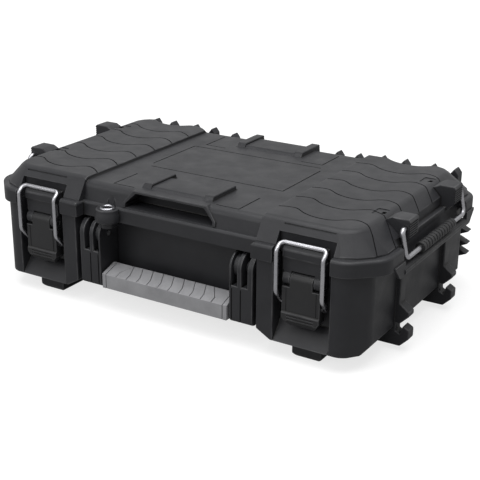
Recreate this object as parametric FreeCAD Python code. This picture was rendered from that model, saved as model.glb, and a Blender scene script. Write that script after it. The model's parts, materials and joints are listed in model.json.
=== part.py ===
import FreeCAD, Part
import math
import os

from FreeCAD import Vector

# Hard tool case with a hinged lid, two draw latches, a swing-out carry handle and two side bails.
# Millimetres. +Z is up, the front with the handle faces -Y, and the origin is on the ground under
# the middle of the case. Sizes that stand for a place are measured from the piece that carries it.

# Clearances, and the overlap that lets solids of one moulding join
RUN_FIT = 0.06
SEAT_GAP = 0.3
SIDE_GAP = 0.4
SINK = 1.0
NEAR = 0.01
FAR = 2000.0

# Base shell
BASE_W = 524.0
BASE_DEPTH = 330.0
BASE_SHIFT_Y = -2.5
FOOT_H = 21.0
BASE_H = 96.7
LIP_H = 8.3
LIP_INSET = 3.0
BASE_WALL = 6.0
SIDE_WALL = 10.0
BACK_WALL = 8.5
FLOOR_T = 6.0
CORNER_X = 22.0
CORNER_Y = 28.0
CORNER_R = 20.0
BOTTOM_CUT_X = 9.0
BOTTOM_CUT_Z = 11.0
BACK_CUT_Y = 18.0
BACK_CUT_Z = 22.0

BASE_HALF_X = BASE_W / 2
BASE_FRONT_Y = BASE_SHIFT_Y - BASE_DEPTH / 2
BASE_BACK_Y = BASE_SHIFT_Y + BASE_DEPTH / 2
SHOULDER_Z = FOOT_H + BASE_H
PARTING_Z = SHOULDER_Z + LIP_H

# Handle recess between the two latch towers
RECESS_W = 262.0
RECESS_DEPTH = 38.5
RECESS_WALL = 7.0
TOWER_WALL = 10.0
TOWER_CUT_X = 20.0
TOWER_CUT_Z = 11.0

RECESS_HALF_X = RECESS_W / 2
RECESS_BACK_Y = BASE_FRONT_Y + RECESS_DEPTH

# Feet under the towers and at the back
FOOT_IN = 58.0
FOOT_W = 38.0
FOOT_LEN = 52.0
FOOT_CUT = 4.0
FRONT_FOOT_BACK = 15.5
REAR_FOOT_BACK = 10.5

FOOT_X = RECESS_HALF_X + FOOT_IN

# Side columns with a tooth, and the stacking claws below them
CLAW_Y = 68.0
CLAW_T = 15.0
CLAW_OVER = 19.0
CLAW_DROP = 14.5
CLAW_ROOT = 22.0
CLAW_CUT = 11.0
CLAW_TIP_T = 8.0
CLAW_FACE_H = 7.5
CLAW_TIP_H = 12.0
CLAW_SLOT_H = 11.0
CLAW_SLOT_W = 5.5
CLAW_SLOT_IN = 2.0
CLAW_SLOT_DIP = 2.5
CLAW_SLOT_RISE = 4.0
COLUMN_OVER = 6.0
COLUMN_H = 83.0
COLUMN_CUT = 6.0
TOOTH_RISE = 27.5
TOOTH_OVER = 18.0
TOOTH_FACE = 5.0
TOOTH_SLOPE = 9.0
TOOTH_ROOT = 4.5
TOOTH_ROOT_DROP = 1.5

CLAW_OUT_X = BASE_HALF_X + CLAW_OVER
CLAW_BOTTOM_Z = FOOT_H - CLAW_DROP
COLUMN_OUT_X = BASE_HALF_X + COLUMN_OVER
COLUMN_TOP_Z = FOOT_H + COLUMN_H
TOOTH_Z = FOOT_H + TOOTH_RISE

# Ribs on the rear corners and standing lugs on the back
RIB_RISES = (56.0, 39.0, 25.0)
RIB_OVER = 4.5
RIB_H = 12.0
LUG_INS = (126.0, 93.5, 54.0, 22.5)
HINGE_LUG_INS = (192.0, 162.0)
LUG_W = 11.0
LUG_LIFT = 1.0
LUG_GABLE_H = 7.0
LUG_DROP = 2.0
HINGE_LUG_DROP = 5.0
LUG_LID_OVER = 3.5
LUG_BASE_DROP = 11.7
LUG_BASE_RISE = 20.0
LUG_SLOPE = 11.0

# Lid shell
RIM_OVER_X = 16.0
RIM_OVER_Y = 4.0
RIM_OVER_STEP = 6.0
RIM_MID_BACK = 14.5
RIM_CORNER = 35.0
RIM_CORNER_R = 28.0
RIM_H = 19.0
RIM_ROUND = 4.0
SKIRT_T = 3.0
LID_RISE = 23.0
LID_WALL = 5.0
LID_LEDGE = 4.0
LID_SLOPE_FRONT = 5.0
LID_SLOPE_BACK = 38.5
LID_SIDE_WALL = 6.0
LID_FRONT_WALL = 14.0
LID_BACK_WALL = 6.0

RIM_HALF_X = BASE_HALF_X + RIM_OVER_X
RIM_FRONT_Y = BASE_FRONT_Y - RIM_OVER_Y
RIM_MID_Y = RIM_FRONT_Y + RIM_MID_BACK
RIM_BACK_Y = BASE_BACK_Y
RIM_LOW_Z = SHOULDER_Z + SEAT_GAP
RIM_TOP_Z = RIM_LOW_Z + RIM_H
LID_TOP_Z = RIM_TOP_Z + LID_RISE
LID_FOOT_Y = RIM_MID_Y + LID_LEDGE
LID_FRONT_EDGE_Y = LID_FOOT_Y + LID_SLOPE_FRONT
LID_BACK_EDGE_Y = RIM_BACK_Y - LID_SLOPE_BACK

# Tread pads on the two halves of the lid
PAD_STEP = 4.0
PAD_RISE = 4.0
PAD_SLOPE_X = 35.0
PAD_SLOPE_FRONT = 24.5
PAD_SLOPE_BACK = 28.5
PAD_ROUND = 10.0
PAD_FOOT_Z = 2.0
PAD_SIDE_IN = 8.0
PAD_FRONT_IN = 8.5
PAD_CORNER_FOOT_R = 50.0
PAD_CORNER_TOP_R = 25.0
# Which way the faces round a pad's corner look: shares across and along the case
PAD_CORNER_FACES = ((1.0, 0.414), (1.0, 1.0), (0.414, 1.0))
PAD_GROOVE_HALF = 32.0
PAD_GROOVE_DROP = 5.5
PAD_GROOVE_W = 1.6
PAD_GROOVE_D = 1.3
PAD_WAVE_Y = 20.0
PAD_WAVE_Z = 18.0
TREAD_IN = 62.0
TREAD_START = 24.5
TREAD_PITCH = 40.7
TREAD_COUNT = 6
TREAD_W = 2.0
TREAD_D = 1.4
TREAD_SWING = 12.0
# A tread line from left to right: shares of the pad's width, and of the swing along the lid
TREAD_WAVE = (
    (-0.569, 0.58),
    (-0.440, 1.0),
    (-0.336, 1.0),
    (-0.250, 0.42),
    (-0.172, 0.0),
    (0.147, 0.0),
    (0.233, 0.67),
    (0.310, 1.0),
    (0.397, 0.75),
    (0.534, -0.25),
    (0.776, -2.33),
)

PAD_IN_X = RECESS_HALF_X - PAD_STEP
PAD_EDGE_X = RIM_HALF_X - PAD_SLOPE_X
PAD_TOP_Z = LID_TOP_Z + PAD_RISE
PAD_ROOT_Z = (RIM_LOW_Z + RIM_TOP_Z) / 2
PAD_FRONT_EDGE_Y = RIM_FRONT_Y + PAD_SLOPE_FRONT
PAD_BACK_EDGE_Y = RIM_BACK_Y - PAD_SLOPE_BACK
PAD_SIDE_X = RIM_HALF_X - PAD_SIDE_IN
PAD_FRONT_Y = RIM_FRONT_Y + PAD_FRONT_IN
PAD_BACK_Y = RIM_BACK_Y - SINK
TREAD_X = PAD_IN_X + TREAD_IN
PAD_WAVE_END_Y = PAD_FRONT_EDGE_Y + TREAD_START + TREAD_COUNT * TREAD_PITCH

# Stacking rails on the lid top, with a low plate between each pair
RAIL_SPAN = 100.0
RAIL_W = 12.0
RAIL_H = 5.5
RAIL_LEN = 56.0
RAIL_START = 13.0
RAIL_END = 15.0
RAIL_TAIL = 2.0
RAIL_ROUND = 1.5
PLATE_H = 2.75
PLATE_SHORT = 10.0

RAIL_OUT_X = RAIL_SPAN / 2
RAIL_FRONT_Y = LID_FRONT_EDGE_Y + RAIL_START
RAIL_REAR_Y = LID_BACK_EDGE_Y + RAIL_END - RAIL_LEN

# Lines pressed into the lid top
LINE_W = 1.6
LINE_D = 0.9
PANEL_W = 200.0
PANEL_LEN = 109.0
PANEL_SHORT_X = 6.0
PANEL_SHORT_Y = 12.0
CORNER_LINE_GAP = 10.0
CORNER_LINE_W = 30.0
CORNER_LINE_LEN = 47.0
REAR_LINE_AHEAD = 15.0
FRONT_LINE_AHEAD = 4.0

# Finger pocket in the lid front
POCKET_RISE = 1.0
POCKET_H = 18.5
POCKET_SIDE_H = 5.0
POCKET_W = 126.0
POCKET_TOP_W = 98.0
POCKET_DEPTH = 30.0
POCKET_FRAME = 4.0
POCKET_PROUD = 2.0

POCKET_LOW_Z = RIM_TOP_Z + POCKET_RISE
POCKET_TOP_Z = POCKET_LOW_Z + POCKET_H

# Latch levers
LATCH_OFF_MIDDLE = 8.5
LEVER_W = 48.0
LEVER_TAB_W = 28.6
LEVER_BACK = 7.5
LEVER_DROP = 16.7
LEVER_LEN = 55.0
LEVER_FRONT_R = 8.0
LEVER_DEPTH = 13.5
LEVER_SKIN = 3.5
LEVER_CORNER_X = 7.0
LEVER_CORNER_Z = 10.0
LEVER_PAD_H = 17.0
LEVER_PAD_OUT = 1.4
LEVER_PAD_IN = 2.0
LEVER_TIP_H = 6.0
LEVER_TIP_Y = 3.0
LEVER_HEEL = 6.0
LEVER_HEEL_H = 8.0
LEVER_TOP_RIB = 4.0
LEVER_CHEEK = 9.0
GRIP_LINE_COUNT = 3
GRIP_LINE_PITCH = 3.5
GRIP_LINE_W = 1.4
GRIP_LINE_D = 1.2
GRIP_LINE_RISE = 13.0
GRIP_LINE_IN = 7.0
EAR_R = 7.7
LATCH_PIN_R = 2.5

LATCH_X = (RECESS_HALF_X + BASE_HALF_X) / 2 - LATCH_OFF_MIDDLE
LEVER_HALF = LEVER_W / 2
LEVER_TAB_HALF = LEVER_TAB_W / 2
LEVER_PIVOT_Y = BASE_FRONT_Y + LEVER_BACK
LEVER_PIVOT_Z = SHOULDER_Z - LEVER_DROP
LEVER_BOTTOM_Z = LEVER_PIVOT_Z - LEVER_LEN

# Latch wires and what they hook over
WIRE_R = 2.6
WIRE_OUT = 4.8
WIRE_PROUD = 5.5
WIRE_END_LEN = 7.0
WIRE_PIVOT_BACK = 0.5
WIRE_PIVOT_DROP = 30.0
WIRE_KNEE_H = 15.5
WIRE_HOOK_H = 7.6
WIRE_HOOK_BACK = 2.7
WIRE_END_BEND = 4.0
WIRE_KNEE_BEND = 9.0
WIRE_SHOULDER_BEND = 6.5
WIRE_BAR_BEND = 6.0
STRIKE_H = 14.3
STRIKE_BACK = 1.5
STRIKE_CUT_Y = 3.0
STRIKE_CUT_Z = 5.0
KEEPER_OVER = 1.4
KEEPER_BACK = 4.5
KEEPER_LIFT = 1.3

STRIKE_FRONT_Y = BASE_FRONT_Y + STRIKE_BACK
STRIKE_TOP_Z = PARTING_Z + STRIKE_H
WIRE_HALF = LEVER_HALF + WIRE_OUT
WIRE_PIVOT_IN = LEVER_HALF - WIRE_END_LEN
WIRE_FRONT_Y = BASE_FRONT_Y - WIRE_PROUD
WIRE_PIVOT_Y = LEVER_PIVOT_Y + WIRE_PIVOT_BACK
WIRE_PIVOT_Z = LEVER_PIVOT_Z - WIRE_PIVOT_DROP
WIRE_BAR_Y = STRIKE_FRONT_Y + WIRE_HOOK_BACK
WIRE_BAR_Z = STRIKE_TOP_Z + SEAT_GAP + WIRE_R
KEEPER_HALF = LEVER_HALF + KEEPER_OVER
KEEPER_FRONT_Y = BASE_FRONT_Y + KEEPER_BACK

# Bays that the latches lie in
BAY_SIDE = 6.7
BAY_DEPTH = 20.0
BAY_WALL = 4.5
BAY_FLOOR_DROP = 1.0
BAY_LID_DEPTH = 15.5
BAY_LID_RISE = 7.8

BAY_HALF = WIRE_HALF + BAY_SIDE
BAY_BACK_Y = BASE_FRONT_Y + BAY_DEPTH
BAY_FLOOR_Z = LEVER_BOTTOM_Z - BAY_FLOOR_DROP
BAY_LID_BACK_Y = BASE_FRONT_Y + BAY_LID_DEPTH
BAY_LID_TOP_Z = WIRE_BAR_Z + BAY_LID_RISE

# Inside of the base
CAVITY_HALF_X = BASE_HALF_X - SIDE_WALL
CAVITY_BACK_Y = BASE_BACK_Y - BACK_WALL
CAVITY_TOWER_Y = BAY_BACK_Y + BAY_WALL
CAVITY_MID_Y = RECESS_BACK_Y + RECESS_WALL
CAVITY_STEP_X = RECESS_HALF_X + TOWER_WALL

# Carry handle
HANDLE_BACK = 19.0
HANDLE_DROP = 20.7
HANDLE_ARM_R = 18.3
ARM_GAP = 5.5
ARM_W = 31.5
ARM_LIFT = 9.0
ARM_ROUND = 7.0
ARM_LINE_W = 1.6
ARM_LINE_D = 1.0
SLOT_DEPTH = 20.0
KNUCKLE_SLOT_IN = 2.7
KNUCKLE_SLOT_W = 7.8
KNUCKLE_R = 14.0
HOOK_SLOT_IN = 16.4
HOOK_SLOT_W = 7.9
HOOK_R = 8.0
HANDLE_PIN_R = 3.2
HANDLE_PIN_SEAT = 6.0
GRIP_LIFT = 1.0
GRIP_FRONT = 19.5
GRIP_DEPTH = 29.0
GRIP_H = 28.5
GRIP_FACE_H = 19.0
GRIP_SLOPE = 19.0
GRIP_CUT = 6.0
GRIP_FRONT_CUT = 1.5
GRIP_END_GAP = 2.5
CORE_FRONT = 4.5
CORE_RISE = 13.0
CORE_W = 15.0
CORE_H = 15.0

HANDLE_Y = BASE_FRONT_Y + HANDLE_BACK
HANDLE_Z = SHOULDER_Z - HANDLE_DROP
ARM_OUT_X = RECESS_HALF_X - ARM_GAP
ARM_IN_X = ARM_OUT_X - ARM_W
ARM_LOW_Z = FOOT_H + ARM_LIFT
SLOT_LOW_Z = HANDLE_Z - SLOT_DEPTH
KNUCKLE_SLOT = (ARM_IN_X + KNUCKLE_SLOT_IN, ARM_IN_X + KNUCKLE_SLOT_IN + KNUCKLE_SLOT_W)
HOOK_SLOT = (ARM_IN_X + HOOK_SLOT_IN, ARM_IN_X + HOOK_SLOT_IN + HOOK_SLOT_W)
GRIP_LOW_Z = ARM_LOW_Z + GRIP_LIFT
CORE_Y = HANDLE_Y - CORE_FRONT
CORE_Z = GRIP_LOW_Z + CORE_RISE

# Side bails, their sleeves and the brackets on the lid
BAIL_R = 3.0
BAIL_IN = 7.4
BAIL_DROP = 10.7
BAIL_LEAN = 6.8
BAIL_H = 31.8
BAIL_LEG_OUT = 8.0
BAIL_END_LEN = 20.0
BAIL_BEND = 7.0
BAIL_END_BEND = 5.0
BRACKET_APART = 114.0
BRACKET_W = 25.0
BRACKET_RISE = 1.0
BRACKET_OUT_IN = 1.5
BRACKET_DEPTH = 26.5
BRACKET_H = 25.0
BRACKET_ROOT = 8.0
BRACKET_SLOPE_X = 14.0
BRACKET_SLOPE_Z = 7.0
BRACKET_CUT = 2.0
BRACKET_CHIN = 4.0
BRACKET_TAIL_Z = 14.0
BRACKET_LINE_COUNT = 6
BRACKET_LINE_D = 1.0
BRACKET_LINE_MARGIN = 4.0
SCAR_IN = 14.0
SCAR_D = 0.8
SCAR_RIM = 2.0
NOTCH_X = 5.0
NOTCH_Y = 7.0
NOTCH_D = 4.0
SLEEVE_IN = 8.0
SLEEVE_R = 6.2
SLEEVE_RIB_PITCH = 4.9
SLEEVE_RIB_D = 1.2
SLEEVE_RIB_SHARE = 0.6
SIDE_POCKET_IN = 13.0
SIDE_POCKET_END = 7.0
ROLL_IN = 20.0
LEDGE_OVER = 3.0
LEDGE_DROP = 5.0
LEDGE_H = 8.0
LEDGE_CUT = 2.0
LEDGE_LIP_X = 4.0
LEDGE_LIP_Z = 1.5
LEDGE_EDGE_Z = 1.0
LEDGE_ROOT_Z = 12.0
LEDGE_TAB = 25.0
LEDGE_TAB_FOOT = 12.0
LEDGE_TAB_H = 3.0

BAIL_X = RIM_HALF_X - BAIL_IN
BRACKET_IN_Y = BRACKET_APART / 2
BRACKET_OUT_Y = BRACKET_IN_Y + BRACKET_W
BRACKET_OUT_X = RIM_HALF_X - BRACKET_OUT_IN
BRACKET_IN_X = BRACKET_OUT_X - BRACKET_DEPTH
BRACKET_TOP_Z = PAD_TOP_Z + BRACKET_RISE
BRACKET_LOW_Z = BRACKET_TOP_Z - BRACKET_H
BAIL_Z = BRACKET_TOP_Z - BAIL_DROP
BAIL_HALF_Y = BRACKET_OUT_Y + BAIL_LEG_OUT
BAIL_END_Y = BRACKET_OUT_Y - BAIL_END_LEN
BAIL_BAR_X = BAIL_X + BAIL_LEAN
BAIL_BAR_Z = BAIL_Z - BAIL_H
SLEEVE_HALF_Y = BRACKET_IN_Y - SLEEVE_IN
SIDE_POCKET_X = RIM_HALF_X - SIDE_POCKET_IN
SIDE_POCKET_Y = BAIL_HALF_Y + SIDE_POCKET_END
LEDGE_OUT_X = RIM_HALF_X + LEDGE_OVER
LEDGE_TOP_Z = RIM_LOW_Z - LEDGE_DROP
LEDGE_LOW_Z = LEDGE_TOP_Z - LEDGE_H
LEDGE_TAB_Y = SIDE_POCKET_Y + LEDGE_TAB

# Lid hinge
HINGE_BACK = 6.1
HINGE_R = 7.0
HINGE_PIN_R = 3.0
HINGE_X = 83.0
HINGE_LID_W = 14.0
HINGE_BASE_W = 14.0
HINGE_GAP = 0.4

HINGE_Y = BASE_BACK_Y + HINGE_BACK
HINGE_Z = PARTING_Z
HINGE_CLEAR = HINGE_R + 2 * HINGE_GAP
LUG_BACK_Y = HINGE_Y + HINGE_R
LUG_LID_BACK_Y = RIM_BACK_Y + LUG_LID_OVER

# Lid seal
SEAL_IN = 1.5
SEAL_W = 3.0
SEAL_H = 4.0

SEAL_CLEAR_Y = CAVITY_BACK_Y + SEAL_IN + SEAL_W + 2 * SEAT_GAP
SEAL_CLEAR_Z = PARTING_Z + SEAL_H + 3 * SEAT_GAP

# Padlock eye at the front left
EYE_X = -84.5
EYE_OUT = 3.5
EYE_BORE_R = 5.5
EYE_TUBE_R = 6.5
EYE_FLANGE_R = 9.8
EYE_FLANGE_T = 2.0
EYE_ROLL_R = 1.7
EYE_BOSS_R = 14.5
EYE_BOSS_DROP = 1.8
EYE_BOWL_R = 16.0
EYE_BOWL_LOW = 3.0
EYE_BOWL_HIGH = 9.0
EYE_BOWL_TOP = 12.0
EYE_LUG_R = 9.0
EYE_LUG_T = 5.4
EYE_LUG_RIM = 1.5
EYE_LUG_FLANGE_T = 1.2

EYE_Y = RIM_MID_Y - EYE_OUT
EYE_BOSS_Z = RIM_TOP_Z - EYE_BOSS_DROP
EYE_LUG_Z = SHOULDER_Z - EYE_LUG_T
EYE_LUG_LOW_Z = EYE_LUG_Z - EYE_LUG_FLANGE_T


def polygon_face(points):
    """A flat face inside a closed run of points."""
    return Part.Face(Part.makePolygon(points + points[:1]))


def prism_z(points, low, high):
    """A plan outline of (x, y) points, raised from low to high."""
    return polygon_face([Vector(x, y, low) for x, y in points]).extrude(Vector(0, 0, high - low))


def prism_x(points, low, high):
    """A side profile of (y, z) points, drawn out along X."""
    return polygon_face([Vector(low, y, z) for y, z in points]).extrude(Vector(high - low, 0, 0))


def prism_y(points, low, high):
    """A front profile of (x, z) points, drawn out along Y."""
    return polygon_face([Vector(x, low, z) for x, z in points]).extrude(Vector(0, high - low, 0))


def block(x0, x1, y0, y1, z0, z1):
    """A box between two corners."""
    return Part.makeBox(x1 - x0, y1 - y0, z1 - z0, Vector(x0, y0, z0))


def rod(start, direction, radius, length):
    """A round bar."""
    return Part.makeCylinder(radius, length, start, direction)


def rod_x(x0, x1, y, z, radius):
    """A round bar along X."""
    return rod(Vector(x0, y, z), Vector(1, 0, 0), radius, x1 - x0)


def rod_y(y0, y1, x, z, radius):
    """A round bar along Y."""
    return rod(Vector(x, y0, z), Vector(0, 1, 0), radius, y1 - y0)


def rod_z(z0, z1, x, y, radius):
    """A round bar along Z."""
    return rod(Vector(x, y, z0), Vector(0, 0, 1), radius, z1 - z0)


def flipped(shape):
    """The shape mirrored to the other side of the case."""
    return shape.mirror(Vector(0, 0, 0), Vector(1, 0, 0))


def both_sides(shapes):
    """The right-hand shapes with their left-hand mirror images."""
    return shapes + [flipped(shape) for shape in shapes]


def joined(shapes):
    """One solid from several overlapping ones."""
    return shapes[0].fuse(shapes[1:]).removeSplitter()


def carved(shape, tools):
    """The shape with the tools cut out of it."""
    return shape.cut(tools).removeSplitter()


def rounded(shape, radius, pick):
    """The shape with the edges that pick chooses by their middle point rounded."""
    edges = [edge for edge in shape.Edges if pick(edge.CenterOfMass, edge)]
    return shape.makeFillet(radius, edges)


def upright(edge):
    """True for a straight edge along Z."""
    ends = [vertex.Point for vertex in edge.Vertexes]
    return len(ends) == 2 and (ends[1] - ends[0]).cross(Vector(0, 0, 1)).Length < NEAR


def bent_path(points, radii):
    """Straight runs through the points, joined by tangent arcs of the given radii."""
    edges = []
    last = points[0]
    for before, corner, after, radius in zip(points, points[1:], points[2:], radii):
        inward = (before - corner).normalize()
        outward = (after - corner).normalize()
        half_turn = (math.pi - inward.getAngle(outward)) / 2
        reach = radius * math.tan(half_turn)
        start = corner + inward * reach
        end = corner + outward * reach
        middle_line = (inward + outward).normalize()
        middle = corner + middle_line * (radius / math.cos(half_turn) - radius)
        edges.append(Part.LineSegment(last, start).toShape())
        edges.append(Part.Arc(start, middle, end).toShape())
        last = end
    edges.append(Part.LineSegment(last, points[-1]).toShape())
    return Part.Wire(edges)


def wire_form(points, radii, radius):
    """A round wire bent along the points."""
    path = bent_path(points, radii)
    circle = Part.Circle(points[0], points[1] - points[0], radius).toShape()
    return path.makePipeShell([Part.Wire([circle])], True, False)


def stepped_plan(side, front, back, middle, step, cut_x, cut_y):
    """The plan outline of the case: a rectangle with cut corners and a set-back front middle."""
    right = [
        (step, middle),
        (step, front),
        (side - cut_x, front),
        (side, front + cut_y),
        (side, back - cut_y),
        (side - cut_x, back),
    ]
    left = [(-x, y) for x, y in reversed(right)]
    return right + left


def cavity_plan(grow):
    """The plan outline of the inside, grown outwards by an amount."""
    return stepped_plan(
        CAVITY_HALF_X + grow,
        CAVITY_TOWER_Y - grow,
        CAVITY_BACK_Y + grow,
        CAVITY_MID_Y - grow,
        CAVITY_STEP_X - grow,
        CORNER_X,
        CORNER_Y,
    )


def base_blank():
    """The outside of the base, with its lip, before the details."""
    plan = stepped_plan(
        BASE_HALF_X, BASE_FRONT_Y, BASE_BACK_Y, RECESS_BACK_Y, RECESS_HALF_X, CORNER_X, CORNER_Y
    )

    def outer_corner(middle, edge):
        return upright(edge) and abs(middle.x) > BASE_HALF_X - CORNER_X - NEAR

    body = rounded(prism_z(plan, FOOT_H, SHOULDER_Z), CORNER_R, outer_corner)
    lip_plan = stepped_plan(
        BASE_HALF_X - LIP_INSET,
        BASE_FRONT_Y + LIP_INSET,
        BASE_BACK_Y - LIP_INSET / 2,
        RECESS_BACK_Y + SEAT_GAP,
        RECESS_HALF_X + SEAT_GAP,
        CORNER_X,
        CORNER_Y,
    )
    lip = prism_z(lip_plan, SHOULDER_Z - BASE_WALL, PARTING_Z)
    side_cut = prism_y(
        [
            (BASE_HALF_X + SINK, FOOT_H + BOTTOM_CUT_Z),
            (BASE_HALF_X + SINK, FOOT_H - SINK),
            (BASE_HALF_X - BOTTOM_CUT_X, FOOT_H - SINK),
        ],
        -FAR,
        FAR,
    )
    back_cut = prism_x(
        [
            (BASE_BACK_Y + SINK, FOOT_H + BACK_CUT_Z),
            (BASE_BACK_Y + SINK, FOOT_H - SINK),
            (BASE_BACK_Y - BACK_CUT_Y, FOOT_H - SINK),
        ],
        -FAR,
        FAR,
    )
    tower_cut = prism_y(
        [
            (RECESS_HALF_X - SINK, FOOT_H + TOWER_CUT_Z),
            (RECESS_HALF_X - SINK, FOOT_H - SINK),
            (RECESS_HALF_X + TOWER_CUT_X, FOOT_H - SINK),
        ],
        -FAR,
        RECESS_BACK_Y,
    )
    return carved(joined([body, lip]), both_sides([side_cut, tower_cut]) + [back_cut])


def foot(y0):
    """One foot block with cut lower edges, reaching up into the base."""
    sole = block(FOOT_X - FOOT_W / 2, FOOT_X + FOOT_W / 2, y0, y0 + FOOT_LEN, 0, FOOT_H + BACK_CUT_Z / 2)
    low_edges = [edge for edge in sole.Edges if edge.CenterOfMass.z < NEAR]
    return sole.makeChamfer(FOOT_CUT, low_edges)


def side_claw(y_middle):
    """A side column with its tooth, and the upward hook below it."""
    slot_x = BASE_HALF_X + CLAW_SLOT_IN
    slot_z = FOOT_H + CLAW_SLOT_RISE
    tooth_x = BASE_HALF_X + TOOTH_OVER
    hook_z = FOOT_H + CLAW_FACE_H
    inner_x = BASE_HALF_X - BASE_WALL / 2
    profile = [
        (BASE_HALF_X - CLAW_ROOT, FOOT_H + FLOOR_T / 2),
        (BASE_HALF_X - CLAW_ROOT, CLAW_BOTTOM_Z),
        (CLAW_OUT_X - CLAW_CUT, CLAW_BOTTOM_Z),
        (CLAW_OUT_X, CLAW_BOTTOM_Z + CLAW_CUT),
        (CLAW_OUT_X, hook_z),
        (CLAW_OUT_X - CLAW_TIP_T, FOOT_H + CLAW_TIP_H),
        (slot_x + CLAW_SLOT_W, slot_z - CLAW_SLOT_DIP),
        (slot_x, slot_z),
        (slot_x, slot_z + CLAW_SLOT_H),
        (slot_x + TOOTH_ROOT, slot_z + CLAW_SLOT_H - TOOTH_ROOT_DROP),
        (tooth_x, TOOTH_Z - TOOTH_FACE / 2),
        (tooth_x, TOOTH_Z + TOOTH_FACE / 2),
        (COLUMN_OUT_X, TOOTH_Z + TOOTH_FACE / 2 + TOOTH_SLOPE),
        (COLUMN_OUT_X, COLUMN_TOP_Z - COLUMN_CUT),
        (COLUMN_OUT_X - COLUMN_CUT, COLUMN_TOP_Z),
        (inner_x, COLUMN_TOP_Z),
        (inner_x, FOOT_H + 2 * BOTTOM_CUT_Z),
    ]
    return prism_y(profile, y_middle - CLAW_T / 2, y_middle + CLAW_T / 2)


def corner_ribs():
    """Wedge ribs on a rear corner."""
    ribs = []
    for rise in RIB_RISES:
        rib_z = FOOT_H + rise
        profile = [
            (BASE_HALF_X - CORNER_X, rib_z - RIB_H / 2),
            (BASE_HALF_X - BOTTOM_CUT_X, rib_z - RIB_H / 2),
            (BASE_HALF_X + RIB_OVER, rib_z),
            (BASE_HALF_X - BOTTOM_CUT_X, rib_z + RIB_H / 2),
            (BASE_HALF_X - CORNER_X, rib_z + RIB_H / 2),
        ]
        ribs.append(prism_y(profile, BASE_BACK_Y - CORNER_Y / 2, BASE_BACK_Y))
    return ribs


def base_lugs():
    """Standing lugs on the back of the base."""
    lugs = []
    root_y = BASE_BACK_Y - BASE_WALL / 2
    low_z = FOOT_H + LUG_BASE_RISE
    top_z = SHOULDER_Z - LUG_BASE_DROP
    profile = [
        (root_y, low_z),
        (LUG_BACK_Y, low_z + LUG_SLOPE),
        (LUG_BACK_Y, top_z - LUG_SLOPE),
        (root_y, top_z),
    ]
    for inset in LUG_INS:
        lug_x = BASE_HALF_X - inset
        lugs.append(prism_x(profile, lug_x - LUG_W / 2, lug_x + LUG_W / 2))
    return lugs


def latch_bay():
    """The hollow that a latch lies in, on the right-hand tower."""
    slope = (BAY_FLOOR_Z - FOOT_H) / BAY_DEPTH
    reach = WIRE_FRONT_Y - WIRE_R
    profile = [
        (BAY_BACK_Y, PARTING_Z + SINK),
        (BAY_BACK_Y, BAY_FLOOR_Z),
        (reach, BAY_FLOOR_Z - slope * (BAY_BACK_Y - reach)),
        (reach, PARTING_Z + SINK),
    ]
    return prism_x(profile, LATCH_X - BAY_HALF, LATCH_X + BAY_HALF)


def latch_keeper():
    """The block in the latch bay, with the two ears that carry the lever's pin."""
    ear_back = BAY_BACK_Y + BAY_WALL / 2
    top_z = LEVER_PIVOT_Z + LEVER_FRONT_R + KEEPER_LIFT
    left = LATCH_X - KEEPER_HALF
    right = LATCH_X + KEEPER_HALF
    pieces = [block(left, right, KEEPER_FRONT_Y, ear_back, top_z, PARTING_Z)]
    tab_side = LEVER_TAB_HALF + SIDE_GAP
    for low, high in ((-LEVER_HALF, -tab_side), (tab_side, LEVER_HALF)):
        low_x = LATCH_X + low
        high_x = LATCH_X + high
        pieces.append(rod_x(low_x, high_x, LEVER_PIVOT_Y, LEVER_PIVOT_Z, EAR_R))
        pieces.append(block(low_x, high_x, LEVER_PIVOT_Y, ear_back, LEVER_PIVOT_Z - EAR_R, top_z + SINK))
        pieces.append(block(low_x, high_x, KEEPER_FRONT_Y, ear_back, LEVER_PIVOT_Z, top_z + SINK))
    return joined(pieces)


def handle_knuckles():
    """The two lugs that carry a handle pin, standing out of the recess wall."""
    pieces = []
    back_y = RECESS_BACK_Y + SINK
    for (low, high), radius in ((KNUCKLE_SLOT, KNUCKLE_R), (HOOK_SLOT, HOOK_R)):
        low_x = low + SIDE_GAP
        high_x = high - SIDE_GAP
        pieces.append(rod_x(low_x, high_x, HANDLE_Y, HANDLE_Z, radius))
        pieces.append(block(low_x, high_x, HANDLE_Y, back_y, HANDLE_Z - radius, HANDLE_Z + radius))
    return pieces


def hinge_spans(side):
    """The stretches along X of one hinge: the two base knuckles and the lid knuckle between."""
    middle = side * HINGE_X
    half = HINGE_LID_W / 2
    low = (middle - half - HINGE_GAP - HINGE_BASE_W, middle - half - HINGE_GAP)
    high = (middle + half + HINGE_GAP, middle + half + HINGE_GAP + HINGE_BASE_W)
    return [low, high], (middle - half, middle + half)


def base_eye_lug():
    """The lug on the recess wall that carries the lower padlock eyelet."""
    left = EYE_X - EYE_LUG_R
    right = EYE_X + EYE_LUG_R
    arm = block(left, right, EYE_Y, RECESS_BACK_Y + SINK, EYE_LUG_LOW_Z, SHOULDER_Z)
    return joined([rod_z(EYE_LUG_LOW_Z, SHOULDER_Z, EYE_X, EYE_Y, EYE_LUG_R), arm])


def base_hinge_knuckles(side):
    """The base's two knuckles of one hinge, with the webs that carry them."""
    knuckles = []
    root_y = BASE_BACK_Y - BASE_WALL / 2
    for low, high in hinge_spans(side)[0]:
        knuckles.append(rod_x(low, high, HINGE_Y, HINGE_Z, HINGE_R))
        knuckles.append(block(low, high, root_y, HINGE_Y, HINGE_Z - HINGE_R, HINGE_Z))
    return knuckles


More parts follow.
